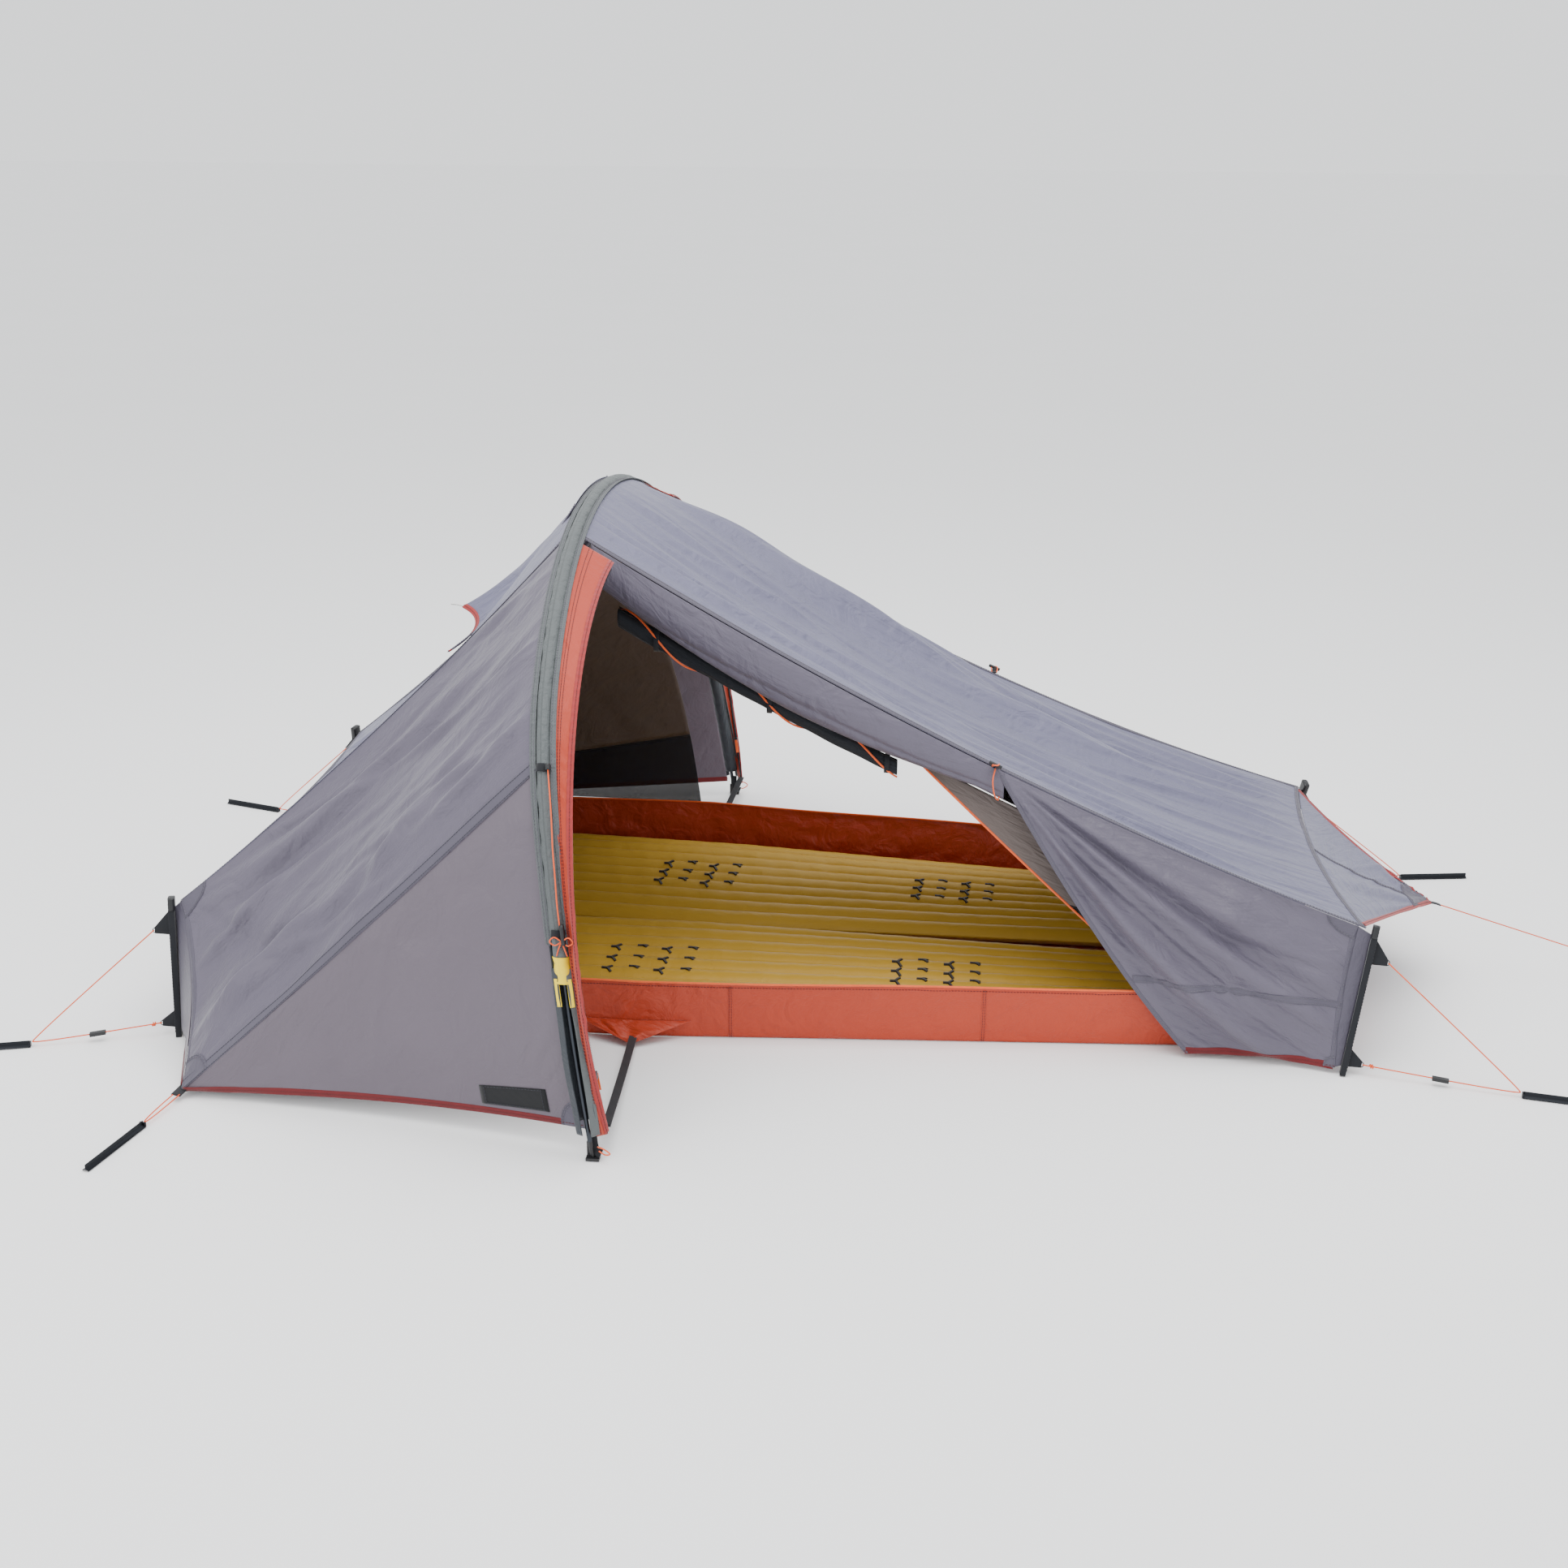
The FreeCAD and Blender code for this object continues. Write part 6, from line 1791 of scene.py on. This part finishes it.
    def toggle_loop(self, side: Side) -> None:
        """The elastic loop on the roof seam that holds the toggle and the tied-back door."""
        at = FOOT_SEAM(np.array([TOGGLE_SHARE]))[0]
        bar = at + mm(0, -15, 10)
        loop = [at + mm(-5, 0, 2), at + mm(-7, -10, 10), bar + mm(-4, -5, 1), bar + mm(4, -5, 1),
                at + mm(7, -10, 10),
                at + mm(5, 0, 2)]
        self.shop.tube(f"toggle_loop_{side.label}", side.place(smooth_path(loop, 40)), 0.0028,
                       self.shop.f.elastic,
                       "elastic")
        tie = [at + mm(0, -6, 0), at + mm(-4, -22, -20), at + mm(0, -22, -48), at + mm(8, -10, -62),
               at + mm(10, 4, -50)]
        self.shop.tube(f"toggle_tie_{side.label}", side.place(smooth_path(tie, 40)), 0.0028,
                       self.shop.f.elastic,
                       "elastic")
        tab = [at + mm(0, 4, 3), at + mm(0, -6, 5), at + mm(0, -12, 9)]
        self.shop.strip(f"toggle_tab_{side.label}", side.place(smooth_path(tab, 10)),
                        side.place(mm(0, 0.3, 1)) * 1000, 0.010, 0.0018, self.shop.f.webbing, "webbing")

    def corner_guy(self, side: Side) -> None:
        """The short double cord at the fly's head corner."""
        peg = self.pegs["corner"]
        flat = unit_of(peg - FLY_CORNER)
        across = np.array([-flat[1], flat[0], 0.0]) * 6 * MM
        down = mm(0, 0, 6)
        ground = peg * ON_GROUND
        route = [FLY_CORNER + flat * 16 * MM + across, ground - flat * 6 * MM + across + down,
                 ground - flat * 6 * MM - across + down, FLY_CORNER + flat * 16 * MM - across]
        placed = [side.place(p) for p in route]
        name = f"guy_corner_{side.label}"
        self.cord(name + "_cord", placed, "object", "taut", name, self.route_length(placed))
        tab = [FLY_CORNER + mm(4, 12, 4), FLY_CORNER, FLY_CORNER + flat * 20 * MM]
        self.shop.strip(f"corner_tab_{side.label}", side.place(smooth_path(tab, 12)),
                        np.array([0.1, 0.2, 1.0]),
                        0.020, 0.0024, self.shop.f.webbing, "webbing")

    def stowed_guy(self, side: Side) -> None:
        """The guy stowed along the sleeve between its two tabs."""
        stops = ((33.5, 17.0, 12.0), (27.2, 18.5, 14.0), (21.2, 17.5, 13.0), (19.3, 18.8, 11.0),
                 (17.5, 17.5, 10.0), (15.7, 18.6, 8.0), (14.2, 17.0, 9.0))
        route = [side.place(HOOP.at(turn, out, along)) for turn, out, along in stops]
        name = f"guy_stowed_{side.label}"
        self.cord(name + "_cord", route, "object", "hanging", name, self.route_length(route))

    def beak_guy(self) -> None:
        """The taut guy from the beak's tip to its peg, with a small ring."""
        start, stop = BEAK_TIP + mm(22, 0, -6), self.pegs["beak"] + mm(-6, 0, 9)
        route = [start + (stop - start) * share for share in (0.0, 0.33, 0.67, 1.0)]
        a = np.linspace(0, 2 * math.pi, 40)
        ring = stop + mm(5.0, 0, 0) + np.stack([0.0065 * np.cos(a), 0.0065 * np.sin(a), 0.002 * np.cos(a)],
                                               -1)
        self.shop.tube("guy_beak_ring", ring, 0.0026, self.shop.f.plastic, "strut_plastic")
        self.cord("guy_beak_cord", route, "fitting", "taut", "guy_beak",
                  float(np.linalg.norm(stop - start)),
                  ("guy_beak_ring",))

    def strut_trim(self, side: Side) -> None:
        """Two rows of dark stitches and a top cap on each corner strut."""
        f, shop = self.shop.f, self.shop
        for end, (base, top) in STRUTS.items():
            axis = unit_of(top - base)
            out = self.heading(base, top, self.pegs[end])
            length = float(np.linalg.norm(top - base))
            across = np.cross(axis, out)
            for way in (-1, 1):
                a = base + axis * 0.010 + out * 0.0059 + across * way * 0.0085
                points = np.linspace(a, a + axis * (length - 0.010), 30)
                shop.sew("dark", side.place(points))
            cap = base + axis * (length + 4 * MM)
            points = np.linspace(cap - axis * 0.016, cap + axis * 0.0085, 8)
            shop.fix(loft(f"strut_cap_{end}_{side.label}",
                          swept(side.place(points), side.place(out), 0.0262, 0.0128,
                                                                 20, 0.4), f.plastic), "strut_plastic")


# --- Room
@dataclass
class Studio:
    """Pale floor, soft light and the camera."""

    def build(self) -> None:
        """Builds the room round the object."""
        self.floor()
        self.lights()
        self.camera()

    def floor(self) -> None:
        """A wide pale floor."""
        g = Graph("studio_floor")
        cloud = g.add("ShaderNodeTexNoise", {"Vector": g.place(uv=False), "Scale": 0.7})
        tone = g.blend(cloud.outputs["Fac"], srgb("#FAFAFA"), srgb("#FDFDFD"))
        paper = g.add("ShaderNodeBsdfPrincipled", {"Base Color": tone, "Roughness": 0.9,
                                                   "Specular IOR Level": 0.1})
        g.close(paper.outputs[0])
        size = 120.0
        corners = np.array([[-size, -size, -0.0012], [size, -size, -0.0012], [size, size, -0.0012],
                            [-size, size, -0.0012]])
        floor = make_object("studio_floor", corners, np.array([[0, 1, 2, 3]]), g.material)

    def lights(self) -> None:
        """One wide overhead light, a soft front fill and a bright sky."""
        world = bpy.data.worlds.new("studio_sky")
        world.use_nodes = True
        sky = world.node_tree.nodes["Background"]
        sky.inputs["Color"].default_value = (0.97, 0.985, 1.0, 1.0)
        sky.inputs["Strength"].default_value = 1.45
        bpy.context.scene.world = world
        self.area("overhead", (0.4, -0.6, 4.2), (0.2, 0.0, 0.0), 4.0, 190.0)
        self.area("front_left", (-3.2, -4.2, 2.6), (0.0, -0.2, 0.3), 2.5, 60.0)

    def area(self, name: str, place: tuple[float, float, float], aim: tuple[float, float, float],
             size: float, power: float) -> None:
        """A square soft light aimed at a point."""
        data = bpy.data.lights.new(name, "AREA")
        data.size = size
        data.energy = power
        obj = linked(name, data)
        way = Vector(aim) - Vector(place)
        obj.location = place
        obj.rotation_euler = way.to_track_quat("-Z", "Y").to_euler()

    def camera(self) -> None:
        """A level view from the near side, a little above the tent."""
        yaw, pitch, roll = (math.radians(a) for a in (5.74, 19.06, 0.46))
        ahead = Vector((-math.sin(yaw) * math.cos(pitch), math.cos(yaw) * math.cos(pitch),
                        -math.sin(pitch)))
        right = Vector((math.cos(yaw), math.sin(yaw), 0.0))
        up = right.cross(ahead)
        right, up = (math.cos(roll) * right + math.sin(roll) * up,
                     -math.sin(roll) * right + math.cos(roll) * up)
        data = bpy.data.cameras.new("camera")
        data.lens = 42.79
        data.sensor_width = 36.0
        data.clip_end = 200.0
        camera = linked("camera", data)
        turn = Matrix((right, up, -ahead)).transposed().to_4x4()
        camera.matrix_world = Matrix.Translation((0.607, -3.751, 1.669)) @ turn
        bpy.context.scene.camera = camera


def main() -> None:
    """Builds the tent, then the room."""
    logging.basicConfig(level=logging.INFO)
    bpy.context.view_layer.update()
    finishes = Finishes()
    shop = Workshop(finishes)
    OuterTent(shop).build()
    LOG.info("outer tent done")
    HoopSleeve(shop).build()
    DoorStrips(shop).build()
    SleepingTent(shop).build()
    LOG.info("inner done")
    AirMat(shop, "mat_near", np.array([-590.0, -236.0, 0.0]), 0.2, 201).build()
    AirMat(shop, "mat_far", np.array([-560.0, 288.0, 0.0]), -3.5, 202).build()
    Hardware(shop).build()
    LOG.info("rows of stitches: %d", shop.finish_seams())
    Studio().build()


if __name__ == "__main__":
    main()
